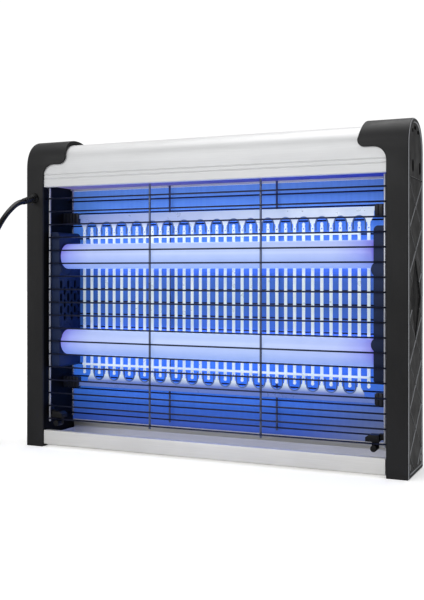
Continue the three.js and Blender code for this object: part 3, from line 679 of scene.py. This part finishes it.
# The radius and the height of each turn.
COIL_ROWS = ((33.5, 3.7), (28, 3.7), (22.5, 3.7), (25.3, 8.5), (30.8, 8.5), (28, 13.2), (33.5, 13.2))
COIL_START = -90
COIL_TURNS = 6.097
COIL_STEP = 10
COIL_LIFT = 90  # degrees over which the lead climbs on to the row below
COIL_SHIFT = 120  # degrees over which it then moves in or out
CORD_SPACING = 2.0
PLUG_START = Vector((-313, -60, 6.9))
FREE_ROUTE = (
    (-189.9, -62.4, 248.9), (-190.4, -68.5, 244.8), (-191.3, -74.8, 239.3), (-192.5, -80.5, 232.8),
    (-193.9, -86, 224.6), (-195.6, -90.9, 214.6), (-197.4, -94.7, 203.6), (-199.5, -97.4, 190),
    (-202, -99.2, 172), (-204.6, -100, 150), (-207.2, -100.5, 126), (-209.8, -100.8, 102),
    (-212.4, -101, 79), (-215, -101, 57.5), (-217.3, -101, 40), (-219.5, -101, 26.6),
    (-222.4, -100.9, 17.8), (-227.7, -100.6, 10.4), (-235, -99.6, 5.2), (-243.6, -98.2, 3.2),
    (-250, -97.2, 3.2), (-256.6, -96.7, 3.5),
)
TAIL_ROUTE = (
    (-287.2, -87.2, 12.9), (-292.9, -83.7, 12.1), (-298.6, -80.1, 10.9),
    (-303.9, -76.1, 9.6), (-308.3, -71.8, 8.3), (-311.6, -66.7, 7.3), (-312.9, -62, 6.9), tuple(PLUG_START),
)


def ease(share):
    share = min(max(share, 0.0), 1.0)
    return share * share * (3 - 2 * share)


def coil_route():
    """The turns, clockwise seen from above: three on the floor, two on them and the last on top."""
    points = []
    total = COIL_TURNS * 360
    steps = round(total / COIL_STEP)
    for i in range(steps + 1):
        turned = total * i / steps
        row = min(int(turned // 360), len(COIL_ROWS) - 1)
        radius, height = COIL_ROWS[row]
        into = turned - row * 360
        if row < len(COIL_ROWS) - 1:
            next_radius, next_height = COIL_ROWS[row + 1]
            shift_from = 360 - COIL_SHIFT
            radius += (next_radius - radius) * ease((into - shift_from) / COIL_SHIFT)
            height += (next_height - height) * ease((into - shift_from + COIL_LIFT) / COIL_LIFT)
        angle = radians(COIL_START - turned)
        x = COIL_CENTRE[0] + radius * cos(angle)
        y = COIL_CENTRE[1] + radius * sin(angle)
        points.append((x, y, height))
    return points


def catmull(points, spacing):
    """Evenly spaced points on a centripetal Catmull-Rom curve through the given ones."""
    given = [Vector(p) for p in points]
    given = [2 * given[0] - given[1]] + given + [2 * given[-1] - given[-2]]
    fine = []
    for i in range(1, len(given) - 2):
        p0, p1, p2, p3 = given[i - 1:i + 3]
        t1 = (p1 - p0).length ** 0.5
        t2 = t1 + (p2 - p1).length ** 0.5
        t3 = t2 + (p3 - p2).length ** 0.5
        for step in range(20):
            t = t1 + (t2 - t1) * step / 20
            a1 = p0.lerp(p1, t / t1)
            a2 = p1.lerp(p2, (t - t1) / (t2 - t1))
            a3 = p2.lerp(p3, (t - t2) / (t3 - t2))
            b1 = a1.lerp(a2, t / t2)
            b2 = a2.lerp(a3, (t - t1) / (t3 - t1))
            fine.append(b1.lerp(b2, (t - t1) / (t2 - t1)))
    fine.append(given[-2])
    lengths = [0.0]
    for a, b in zip(fine, fine[1:]):
        lengths.append(lengths[-1] + (b - a).length)
    count = round(lengths[-1] / spacing)
    even = []
    k = 0
    for i in range(count + 1):
        wanted = lengths[-1] * i / count
        while k < len(lengths) - 2 and lengths[k + 1] < wanted:
            k += 1
        share = (wanted - lengths[k]) / max(lengths[k + 1] - lengths[k], 1e-9)
        even.append(fine[k].lerp(fine[k + 1], share))
    return even


def add_lead_curve():
    start = [CORD_EXIT + EXIT_WAY * d for d in (0.0, 10.0, BOOT_LENGTH + 0.6, BOOT_LENGTH + 5.5)]
    path = catmull([*start, *FREE_ROUTE, *coil_route(), *TAIL_ROUTE], CORD_SPACING)
    data = bpy.data.curves.new("mains_lead", "CURVE")
    data.dimensions = "3D"
    data.bevel_depth = CORD_RADIUS * MM
    data.bevel_resolution = 3
    data.use_fill_caps = True
    data.twist_mode = "MINIMUM"
    spline = data.splines.new("POLY")
    spline.points.add(len(path) - 1)
    for point, where in zip(spline.points, path):
        point.co = (*(where * MM), 1)
    spline.use_smooth = True
    data.materials.append(MAT["cord"])
    return belong(add_object("mains_lead", data), ("power_cord", "cord_coil", "cord_tail"))


def boot_profile():
    """The tapered strain relief: a collar, then ribs that get thinner along the cord."""
    profile = [(0, -3.0), (4.8, -3.0), (4.8, 1.0), (4.3, 1.5)]
    ribs = 6
    first = 2.4
    pitch = (BOOT_LENGTH - 3.4) / ribs
    for i in range(ribs):
        at = first + i * pitch
        radius = 4.0 - 0.75 * i / (ribs - 1)
        groove = radius - 0.45
        profile += [(groove, at), (radius, at + 0.35),
                    (radius, at + pitch - 1.0), (groove, at + pitch - 0.65)]
    profile += [(3.05, BOOT_LENGTH - 0.5), (2.85, BOOT_LENGTH), (0, BOOT_LENGTH)]
    return profile


def plug_shape():
    grips = []
    x, y, z = PLUG_START
    for i in range(4):
        at = y + 18 + i * 3.2
        for a in (x - 11.2, x + 11.2):
            for b in (z - 6.5, z + 6.5):
                grips.append(block((a - 3.0, at, b - 0.5), (a + 3.0, at + 1.2, b + 0.5)))
    return combine(finished("plug_body", 0.7, 2, 40), join(grips))


def plug_pin(side):
    low, high = box_mm(f"plug_pin_{SIDE_NAME[side]}")
    centre = ((low.x + high.x) / 2, low.y, (low.z + high.z) / 2)
    length = high.y - low.y
    radius = (high.z - low.z) / 2
    profile = [(0, 0), (radius, 0), (radius, length - 1.8), (radius * 0.9, length - 0.9),
               (radius * 0.6, length - 0.2), (0, length)]
    return lathe(profile, centre, (0, 1, 0), 28)


def tie_shape():
    low, high = box_mm("cord_tie")
    outer = rounded((low.x, low.z), (high.x, high.z), 3.4, 6)
    inner = rounded((low.x + 1.2, low.z + 0.6), (high.x - 1.2, high.z - 1.3), 2.4, 6)
    band = combine(prism(outer, "Y", low.y, high.y), prism(inner, "Y", low.y - 1, high.y + 1))
    return soften(merge_flats(band), 0.35, 2)


def add_lead():
    lead = add_lead_curve()
    relief = lathe(boot_profile(), CORD_EXIT, EXIT_WAY, 28)
    boot = piece("lead_strain_relief", relief, MAT["cord"], ("cord_strain_relief",))
    tie = piece("lead_tie", tie_shape(), MAT["plug"], ("cord_tie",))
    plug = piece("lead_plug", plug_shape(), MAT["plug"], ("plug_body",))
    for side, name in SIDE_NAME.items():
        piece(f"lead_pin_{name}", plug_pin(side), MAT["brass"],
                          (f"plug_pin_{name}",))


add_lead()


# ---- end caps
def cap_outline(inset):
    half = HALF_DEPTH - inset
    return [(-half, inset), *arch(half, CAP_BEND, HEIGHT - inset), (half, inset)]


def cap_body():
    """The outer skin: a rounded outer edge, a raised rim and a side face set in behind it."""
    edge = [(HALF_SPAN - CAP_EDGE + a, CAP_EDGE - b) for a, b in arc(0, 0, CAP_EDGE, 90, 0, 5)]
    steps = [(WINDOW_HALF, 0.6), (WINDOW_HALF + 0.2, 0.2), (WINDOW_HALF + 0.6, 0), *edge,
             (HALF_SPAN, SIDE_RIM - 0.4), (SIDE_FACE, SIDE_RIM + 0.3)]
    body = loft([[(x, y, z) for y, z in cap_outline(inset)] for x, inset in steps])
    hollow = prism(cap_outline(CAP_WALL), "X", WINDOW_HALF - 1, HALF_SPAN - 2.6)
    return combine(body, hollow)


def tab_outline():
    edge = WINDOW_HALF
    free = edge - TAB_REACH
    low = TAB_EDGE - 2 * TAB_FILLET
    top = HEIGHT + 2
    fillet = arc(edge - TAB_FILLET, TAB_EDGE - TAB_FILLET, TAB_FILLET, 0, 90, 14)
    corner = arc(free + TAB_CORNER, TAB_EDGE + TAB_CORNER, TAB_CORNER, 270, 180, 12)
    return [(edge + CAP_WALL, low), (edge + 0.6, low), (edge, low + 1), *fillet, *corner,
            (free + TAB_LEAN, top), (edge + CAP_WALL, top)]


def cap_tab():
    """The part of the cap that laps over the housing."""
    half = -HOUSING_LOW.y + GAP
    under = [(-half, 200), *arch(half, HOUSING_BEND, HOUSING_HIGH.z + GAP), (half, 200)]
    start = WINDOW_HALF - TAB_REACH - 2
    end = WINDOW_HALF + CAP_WALL
    skin = combine(prism(cap_outline(0), "X", start, end), prism(under, "X", start - 1, end + 1))
    tab = combine(skin, prism(tab_outline(), "Y", -HALF_DEPTH - 5, HALF_DEPTH + 5), "INTERSECT")
    return soften(merge_flats(tab), 0.55, 3, 40, clamp=False)


LATTICE_PITCH = 40
LATTICE_LOW = 6.5
LATTICE_HIGH = 262
LATTICE_HALF = 25.8
LATTICE_SLOPE = 20 / 25.5
LATTICE_RIDGE = (0.8, -0.55)  # half width, then depth: below zero it stands out
LATTICE_CUT = (0.9, 0.7)
JOINT_HEIGHT = 264.6
JOINT_HALF = 27
EMBLEM_Z = 157.5
EMBLEM_WIDE = 22.5
EMBLEM_TALL = 36.5
EMBLEM_DEPTH = 0.9
VENT_WIDTH = 2.2
VENT_PITCH = 5.6
VENT_HEIGHT = 66  # the middle one: each one further out is VENT_STEP shorter
VENT_STEP = 17
TOP_SLOTS = ((-11.5, 275.5), (18.5, 275.5))
TOP_SLOT_SIZE = (7, 11.5)
CROWN_SLOTS = ((-12.5, 306.8, 5.5), (-2, 310.2, 9), (11, 307.6, 8))  # middle y, middle z, width
SCREW_DEPTH = 14
BOSS_RADIUS = 4.6


def side_line(start, end, half_width, depth):
    """A V-shaped bar between two (y, z) points of the side face. A depth below zero stands out."""
    (y0, z0), (y1, z1) = start, end
    length = hypot(y1 - y0, z1 - z0)
    across = (-(z1 - z0) / length, (y1 - y0) / length)
    past = 0.4
    proud = copysign(past, depth)
    wide = half_width * (1 + past / abs(depth))
    rings = []
    for y, z in (start, end):
        a, b = across[0] * wide, across[1] * wide
        edge = SIDE_FACE + proud
        rings.append([(edge, y + a, z + b), (edge, y - a, z - b), (SIDE_FACE - depth, y, z)])
    return loft(rings)


def lattice_lines(slope_sign, half_width, depth):
    lines = []
    slope = slope_sign * LATTICE_SLOPE
    rise = LATTICE_SLOPE * LATTICE_HALF
    for k in range(-1, 8):
        middle = LATTICE_PITCH * k + 0.2
        low = max(LATTICE_LOW, middle - rise)
        high = min(LATTICE_HIGH, middle + rise)
        if high - low > 4:
            start, end = [((z - middle) / slope, z) for z in (low, high)]
            lines.append(side_line(start, end, half_width, depth))
    return join(lines)


def emblem_recess():
    """A plain diamond set into the side face round the vents."""
    z = EMBLEM_Z
    outline = [(-EMBLEM_WIDE, z), (0, z - EMBLEM_TALL),
               (EMBLEM_WIDE, z), (0, z + EMBLEM_TALL)]
    return prism(outline, "X", SIDE_FACE - EMBLEM_DEPTH, SIDE_FACE + 2)


def vent_cutters():
    """The slots near the top, the diamond of vents and the openings under the crown."""
    outlines = [stadium(y, z, *TOP_SLOT_SIZE) for y, z in TOP_SLOTS]
    for i in range(-3, 4):
        height = VENT_HEIGHT - abs(i) * VENT_STEP
        outlines.append(stadium(i * VENT_PITCH, EMBLEM_Z, VENT_WIDTH, height))
    cuts = [prism(outline, "X", HALF_SPAN - 6, HALF_SPAN + 1) for outline in outlines]
    for y, z, width in CROWN_SLOTS:
        slot = rounded((y - width / 2, z - 1.8), (y + width / 2, z + 1.8), 1.6)
        cuts.append(prism(slot, "X", HALF_SPAN - 2.2, HALF_SPAN + 1))
    return join(cuts)


def screw_cutter(place_yz):
    profile = [(0, -SCREW_DEPTH), (1.8, -SCREW_DEPTH), (1.8, -2), (3.4, -2),
               (3.4, -0.6), (4, 0), (4, 1.5), (0, 1.5)]
    return lathe(profile, (HALF_SPAN, *place_yz), (1, 0, 0), 24)


def end_cap(side):
    shell = combine(cap_body(), cap_tab(), "UNION")
    for y, z in SCREW_PLACES.values():
        boss = prism(arc(y, z, BOSS_RADIUS, 0, 345, 23), "X", HALF_SPAN - 12, HALF_SPAN - 1.4)
        shell = combine(shell, boss, "UNION")
    shell = combine(shell, lattice_lines(1, *LATTICE_RIDGE), "UNION")
    shell = combine(shell, lattice_lines(-1, *LATTICE_CUT))
    shell = combine(shell, side_line((-JOINT_HALF, JOINT_HEIGHT), (JOINT_HALF, JOINT_HEIGHT), 0.7, 0.8))
    shell = combine(shell, emblem_recess())
    shell = combine(shell, vent_cutters())
    shell = combine(shell, join([screw_cutter(p) for p in SCREW_PLACES.values()]))
    shell = mirrored(shell, side)
    if side < 0:
        start, end = [CORD_EXIT + Vector((0, y, 0)) for y in (-2, CAP_WALL + 2)]
        shell = combine(shell, rod(start, end, 5.2, 32, 0))
    return merge_flats(shell)


def add_caps():
    for side, name in SIDE_NAME.items():
        piece(f"cap_{name}", end_cap(side), MAT["cap"], (f"{name}_end_cap",), angle=28)


def screw_shape(place_yz, side):
    """A pan head with a cross recess, and its shank."""
    y, z = place_yz
    face = HALF_SPAN - 0.25
    profile = [(0, -SCREW_DEPTH), (1.3, 1 - SCREW_DEPTH), (1.5, 3 - SCREW_DEPTH), (1.5, -1.7),
               (3.1, -1.7), (3.1, -0.7), (2.5, -0.15), (1.2, 0), (0, 0)]
    head = lathe(profile, (face, y, z), (1, 0, 0), 28)
    for wide, tall in ((2.0, 0.42), (0.42, 2.0)):
        head = combine(head, block((face - 1.1, y - wide, z - tall), (face + 1, y + wide, z + tall)))
    return mirrored(merge_flats(head), side)


def add_screws():
    for side, name in SIDE_NAME.items():
        for where, spot in SCREW_PLACES.items():
            piece(f"screw_{name}_{where}", screw_shape(spot, side), MAT["screw"],
                  (f"{name}_cap_screw_{where}",))


# ---- top housing
def housing_outline():
    half = -HOUSING_LOW.y
    bottom = HOUSING_LOW.z
    outer = [(-HOUSING_LIP, bottom), (-half + 0.5, bottom), (-half, bottom + 0.5)]
    for side in SIDES:
        heights = GROOVE_HEIGHTS if side < 0 else GROOVE_HEIGHTS[::-1]
        for height in heights:
            for step, inset in ((-0.8, 0), (-0.45, 0.45), (0, 0.7), (0.45, 0.45), (0.8, 0)):
                outer.append((side * (half - inset), height - side * step))
        if side < 0:
            outer += arch(half, HOUSING_BEND, HOUSING_HIGH.z, 72)
    outer += [(half, bottom + 0.5), (half - 0.5, bottom), (HOUSING_LIP, bottom)]
    inside = half - HOUSING_WALL
    lip = bottom + HOUSING_WALL
    inner = arch(inside, HOUSING_BEND, HOUSING_HIGH.z - HOUSING_WALL, 72)[::-1]
    return [*outer, (HOUSING_LIP, lip), (inside, lip), *inner, (-inside, lip), (-HOUSING_LIP, lip)]


def add_housing():
    shell = prism(housing_outline(), "X", HOUSING_LOW.x, HOUSING_HIGH.x)
    holes = []
    for x in upright_xs():
        y = GUARD_Y["back"] + UPRIGHT
        holes.append(rod((x, y, HOUSING_LOW.z - 1), (x, y, HOUSING_LOW.z + 3), UPRIGHT + 0.2, 12, 0))
    shell = combine(shell, join(holes))
    piece("housing_shell", merge_flats(shell, 0.05), MAT["housing"], ("top_housing",),
          angle=25)
    plate = finished("underside_plate", 0.3)
    low = box_mm("underside_plate")[0]
    dimples = []
    for i in range(-3, 4):
        dimples.append(prism(stadium(i * 46, 0, 14, 30, 10), "Z", low.z - 1, low.z + 0.4))
    plate = combine(plate, join(dimples))
    piece("housing_underside", plate, MAT["sheet"], ("underside_plate",))


# ---- wire guards
def upright_xs():
    return [share * GUARD_HALF for share in (-1, -1 / 3, 1 / 3, 1)]


def guard_wires(which, pinned, high):
    """Round wires with a small weld bead where each crosses an upright."""
    y = GUARD_Y[which]
    shapes = []
    for i in range(GUARD_WIRES):
        z = GUARD_FIRST + i * GUARD_PITCH
        reach = high.x if i in pinned else GUARD_HALF + 1.6
        shapes.append(rod((-reach, y, z), (reach, y, z), GUARD_WIRE, 12, 0.5))
        for x in upright_xs():
            shapes.append(weld_bead(x, y + GUARD_WIRE, z))
    return join(shapes)


def guard_uprights(which, low, high):
    y = GUARD_Y[which] + UPRIGHT
    return join([rod((x, y, low.z), (x, y, high.z), UPRIGHT, 16, 0.5) for x in upright_xs()])


def weld_bead(x, y, z):
    profile = [(0, -1.7), (0.7, -1.45), (1.05, -0.6), (1.05, 0.6), (0.7, 1.45), (0, 1.7)]
    return lathe(profile, (x, y, z), (1, 0, 0), 10)


def add_guards():
    last = GUARD_WIRES - 1
    for which, pinned, body in (("front", (last,), "guard"), ("back", (0, last), "frame")):
        low, high = box_mm(f"{which}_guard")
        piece(f"guard_{which}_wires", guard_wires(which, pinned, high), MAT["wire"],
              (f"{which}_guard",), body, angle=50)
        piece(f"guard_{which}_uprights", guard_uprights(which, low, high), MAT["upright"],
              (), body, angle=50)


# ---- lamps
def glass_profile():
    """A hollow glass tube whose ends turn in on a small radius."""
    mouth = TUBE_RADIUS - MOUTH_TURN
    half = [(r, x) for x, r in arc(TUBE_END - MOUTH_TURN, mouth, MOUTH_TURN, 90, 0, 6)]
    half += [(mouth, TUBE_END - 0.8), (TUBE_RADIUS - 0.8, TUBE_END - 2.6)]
    return half + [(radius, -along) for radius, along in half[::-1]]


def lamp_cap(side, which):
    """The metal disc in the tube's mouth, with a turned rim and two pins, each with a collar at its foot."""
    centre = Vector((0, TUBE_Y, TUBE_HEIGHT[which]))
    start = DISC_LOW.x
    r = (DISC_HIGH.z - DISC_LOW.z) / 2
    profile = [(0, start), (r - 0.3, start), (r, start + 0.3), (r, TUBE_HALF - 0.5), (r - 0.5, TUBE_HALF),
               (r - 2, TUBE_HALF), (r - 2.4, TUBE_HALF - 0.25), (0, TUBE_HALF - 0.25)]
    cap = lathe(profile, centre, (1, 0, 0), 48)
    for up in SIDES:
        at = centre + Vector((TUBE_HALF - 0.8, 0, up * PIN_OFFSET))
        pin = [(0, 0), (1.6, 0), (1.6, 0.75), (1.2, 0.75), (1.2, 6.9), (0.7, 7.7), (0, 7.8)]
        cap = combine(cap, lathe(pin, at, (1, 0, 0), 16), "UNION")
    return mirrored(cap, side)


def lamp_holder(side, which):
    """The socket, with its rotor groove and entry slot."""
    return finished(f"{which}_lamp_holder_right", 0.35, 2, 35, side)


def add_lamps():
    for which in TUBE_HEIGHT:
        body = f"{which}_tube"
        glass = lathe(glass_profile(), (0, TUBE_Y, TUBE_HEIGHT[which]), (1, 0, 0), 64)
        piece(f"lamp_glass_{which}", glass, MAT["glass"], (f"uv_tube_{which}",), body)
        for side, name in SIDE_NAME.items():
            piece(f"lamp_cap_{which}_{name}", lamp_cap(side, which), MAT["nickel"],
                  (f"{which}_tube_cap_{name}",), body)
            piece(f"lamp_socket_{which}_{name}", lamp_holder(side, which), MAT["navy"],
                  (f"{which}_lamp_holder_{name}",))
    for side, name in SIDE_NAME.items():
        tower = finished("right_lamp_column", 0.5, 3, 35, side)
        piece(f"lamp_tower_{name}", tower, MAT["navy"], (f"{name}_lamp_column",))


# ---- high-voltage combs
def bar_x(i):
    return (i - (BAR_COUNT - 1) / 2) * BAR_PITCH


def bar_side(x, start, end, reach):
    """One edge of a bar, from start to end in height, pinched in at the waists."""
    inward = -copysign(WAIST_DEPTH, reach)
    step = copysign(WAIST_HALF, end - start)
    points = [(x + reach, start)]
    for height in sorted(WAIST_HEIGHTS, key=lambda z: abs(z - start)):
        points += [(x + reach, height - step), (x + reach + inward, height), (x + reach, height + step)]
    return points + [(x + reach, end)]


def comb_outline(which):
    far, near = RAILS[which]
    up = 1 if far > near else -1
    first = FIRST_BAR[which]
    half = BAR_WIDTH / 2
    tip = TIPS[which] + up * half
    neck = near - up * POCKET
    shoulder = bar_x(BAR_COUNT - 1 - first) + half + RAIL_SHOULDER
    strip = far - up * RAIL_END
    points = [(-RAIL_HALF, far), (RAIL_HALF, far), (RAIL_HALF, strip), (shoulder, strip), (shoulder, near)]
    for i in range(BAR_COUNT - 1 - first, first - 1, -2):
        x = bar_x(i)
        points += bar_side(x, neck, tip, half)
        points += arc(x, tip, half, 0, -180 * up, 8)[1:-1]
        points += bar_side(x, neck, tip, -half)[::-1]
        if i - 2 >= first:
            points += arc(bar_x(i - 1), neck, POCKET, 0, 180 * up, 16)
    return points + [(-shoulder, near), (-shoulder, strip), (-RAIL_HALF, strip)]


def comb_shape(which):
    """A rail with bars, and a tie that crosses in front of the other comb's bars on short posts."""
    plate = prism(comb_outline(which), "Y", COMB_Y, COMB_Y + COMB_DEPTH)
    middles = [bar_x(i) for i in range(FIRST_BAR[which], BAR_COUNT - FIRST_BAR[which], 2)]
    holes = []
    for x in middles:
        for z in HOLE_HEIGHTS:
            holes.append(prism(arc(x, z, HOLE_RADIUS, 0, 330, 11), "Y", COMB_Y - 1, COMB_Y + 2))
    plate = combine(plate, join(holes))
    back = COMB_Y - TIE_LIFT
    low, high = TIES[which] - TIE_HALF, TIES[which] + TIE_HALF
    end = middles[-1] + 1
    plate = combine(plate, block((-end, back - COMB_DEPTH, low), (end, back, high)), "UNION")
    posts = []
    for x in middles:
        posts.append(block((x - 1, back - 0.5, low + 0.2), (x + 1, COMB_Y + 0.5, high - 0.2)))
    plate = combine(plate, join(posts), "UNION")
    bmesh.ops.remove_doubles(plate, verts=plate.verts, dist=2 * WELD)
    return soften(plate, 0.16, 1, 50)


def pocket_rims(which):
    """A half-round bead pressed round each pocket that the other comb's tips stand in."""
    up = 1 if RAILS[which][0] > RAILS[which][1] else -1
    neck = RAILS[which][1] - up * POCKET
    first = FIRST_BAR[which]
    beads = []
    for i in range(first + 1, BAR_COUNT - 1 - first, 2):
        x = bar_x(i)
        path = [(x + POCKET, neck - up * 7), (x + POCKET, neck - up * 3)]
        path += arc(x, neck, POCKET, 0, 180 * up, 16)
        path += [(x - POCKET, neck - up * 3), (x - POCKET, neck - up * 7)]
        beads.append(bead(path, COMB_Y, 0.75, 0.55))
    return join(beads)


def bead(path, y, half_width, height):
    """A low rounded strip on the front of a plate at y, along (x, z) points."""
    rings = []
    for i, (x, z) in enumerate(path):
        before = path[max(i - 1, 0)]
        after = path[min(i + 1, len(path) - 1)]
        dx, dz = after[0] - before[0], after[1] - before[1]
        size = hypot(dx, dz)
        nx, nz = -dz / size, dx / size
        ring = []
        for across, out in ((-1, -0.2), (-0.8, 0.6), (0, 1), (0.8, 0.6), (1, -0.2)):
            ring.append((x + nx * across * half_width, y - out * height, z + nz * across * half_width))
        rings.append(ring)
    return loft(rings)


def insulator(side, level):
    """A ribbed block that holds the end of a comb's rail."""
    bm = from_node(f"right_{level}_insulator")
    low, high = box_mm(f"right_{level}_insulator")
    cuts = []
    for i in range(4):
        x = low.x + 4.2 + i * 4.0
        for level_y in (low.y, high.y):
            cuts.append(block((x - 0.8, level_y - 0.9, low.z - 1), (x + 0.8, level_y + 0.9, high.z + 1)))
    return mirrored(soften(merge_flats(combine(bm, join(cuts))), 0.25, 2, 40), side)


def add_grid():
    for which in RAILS:
        piece(f"grid_plate_{which}", comb_shape(which), MAT["comb"], (f"grid_comb_{which}",))
        piece(f"grid_rims_{which}", pocket_rims(which), MAT["rim"])
        for side, name in SIDE_NAME.items():
            piece(f"grid_mount_{which}_{name}", insulator(side, which), MAT["insulator"],
                  (f"{name}_{which}_insulator",))


# ---- sheet, base, tray and clips
def reflector_shape():
    """A thin sheet with two stiffening channels pressed along it, 9 mm in from its top and bottom edges."""
    front, back = SHEET_LOW.y, SHEET_HIGH.y
    profile = [(front, SHEET_LOW.z)]
    for z in (SHEET_LOW.z + 9, SHEET_HIGH.z - 9):
        profile += [(front, z - 2.5), (front + 0.35, z - 1.5), (front + 0.35, z + 1.5), (front, z + 2.5)]
    profile += [(front, SHEET_HIGH.z), (back, SHEET_HIGH.z), (back, SHEET_LOW.z)]
    return prism(profile, "X", -SHEET_HIGH.x, SHEET_HIGH.x)


def add_structure():
    piece("rear_sheet", reflector_shape(), MAT["reflector"], ("rear_reflector",))
    piece("base_trough", finished("base_channel", 0.3), MAT["tray"], ("base_channel",))
    tray = finished("collection_tray", 0.3)
    piece("tray_drawer", tray, MAT["tray"], ("collection_tray",), "tray")
    for side, name in SIDE_NAME.items():
        cover = finished("right_inner_cover", 0.25, 1, 40, side)
        piece(f"cover_{name}", cover, MAT["cover"], (f"{name}_inner_cover",))
        clip = finished("right_guard_clip", 0.5, 3, 35, side)
        piece(f"clip_{name}", clip, MAT["clip"], (f"{name}_guard_clip",))


ELECTRICS = {"ballast": "ballast", "hv_transformer": "resin",
             "circuit_board": "board", "terminal_block": "terminal"}


def finish_electrics():
    for node, finish in ELECTRICS.items():
        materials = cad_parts[node].data.materials
        if not len(materials):
            materials.append(MAT[finish])
        for i in range(len(materials)):
            materials[i] = MAT[finish]


add_caps()
add_screws()
add_housing()
add_guards()
add_lamps()
add_grid()
add_structure()
finish_electrics()


# ---- studio
def add_area(name, where, aim, size, power, colour=(1, 1, 1)):
    data = bpy.data.lights.new(name, "AREA")
    data.shape = "RECTANGLE"
    data.size, data.size_y = size
    data.energy = power
    data.color = colour
    lamp = add_object(name, data)
    lamp.location = where
    lamp.rotation_euler = (Vector(aim) - Vector(where)).to_track_quat("-Z", "Y").to_euler()
    lamp.visible_camera = False


def add_floor():
    mesh = bpy.data.meshes.new("floor")
    reach = 6
    corners = [(-reach, -reach, 0), (reach, -reach, 0), (reach, reach, 0), (-reach, reach, 0)]
    mesh.from_pydata(corners, [], [(0, 1, 2, 3)])
    m = Maker("floor", roughness=0.9, specular=0.1)
    path = m.add("LightPath")
    mirrored_ray = path.outputs["Is Glossy Ray"]
    pale = m.ramp(m.noise(3, 3), ((0.3, grey(0.86)), (0.7, grey(0.88))))
    m.colour(m.blend(mirrored_ray, pale, grey(0.3)))
    away = m.add("VectorMath", operation="LENGTH")
    m.wire(m.place, away.inputs[0])
    seen = m.ramp(m.span(away.outputs["Value"], 0.25, 1.0), ((0.0, grey(0.4)), (1.0, grey(1))))
    unseen = m.blend(mirrored_ray, grey(0.36), grey(0.1))
    m.glow(m.blend(path.outputs["Is Camera Ray"], unseen, seen), 1.0)
    mesh.materials.append(m.material)
    add_object("floor", mesh)


ROOM_LIGHT = 0.5
ROOM_LIGHT_RIGHT = 0.06
ROOM_SEEN = 1.05


def add_world():
    """An even pale room that is darker on the right, so that the caps' sides stay black."""
    world = bpy.data.worlds.new("studio")
    SCENE.world = world
    world.use_nodes = True
    tree = world.node_tree
    wire = tree.links.new
    add = tree.nodes.new
    background = tree.nodes["Background"]
    put(background, {"Color": grey(1)})
    place = add("ShaderNodeTexCoord")
    parts = add("ShaderNodeSeparateXYZ")
    room = add("ShaderNodeMapRange")
    put(room, {"From Min": 0.0, "From Max": 0.5, "To Min": ROOM_LIGHT, "To Max": ROOM_LIGHT_RIGHT})
    path = add("ShaderNodeLightPath")
    strength = add("ShaderNodeMix")
    put(strength, {"B": ROOM_SEEN})
    wire(place.outputs["Generated"], parts.inputs[0])
    wire(parts.outputs["X"], room.inputs["Value"])
    wire(room.outputs["Result"], strength.inputs["A"])
    wire(path.outputs["Is Camera Ray"], strength.inputs["Factor"])
    wire(strength.outputs["Result"], background.inputs["Strength"])


def add_studio():
    add_floor()
    add_world()
    SCENE.view_settings.view_transform = "Standard"
    add_area("key", (-0.5, -1.6, 1.0), (0, 0, 0.18), (1.4, 1.4), 10.7)
    add_area("side", (1.6, -0.5, 0.7), (0.1, 0, 0.16), (1.0, 1.2), 0.4)
    add_area("top", (0.1, 0.2, 1.8), (0, 0, 0.2), (1.6, 1.6), 19)
    violet = (0.36, 0.42, 1.0)
    for which, z in TUBE_HEIGHT.items():
        level = z * MM
        add_area(f"glow_{which}", (0, 0.0066, level), (0, 0.1, level), (0.31, 0.018), 0.16, violet)
    add_area("glow_up", (0, -0.007, 0.212), (0, -0.004, 0.3), (0.31, 0.02), 0.05, violet)
    add_area("glow_down", (0, -0.007, 0.093), (0, -0.008, 0.0), (0.31, 0.02), 0.05, violet)


add_studio()
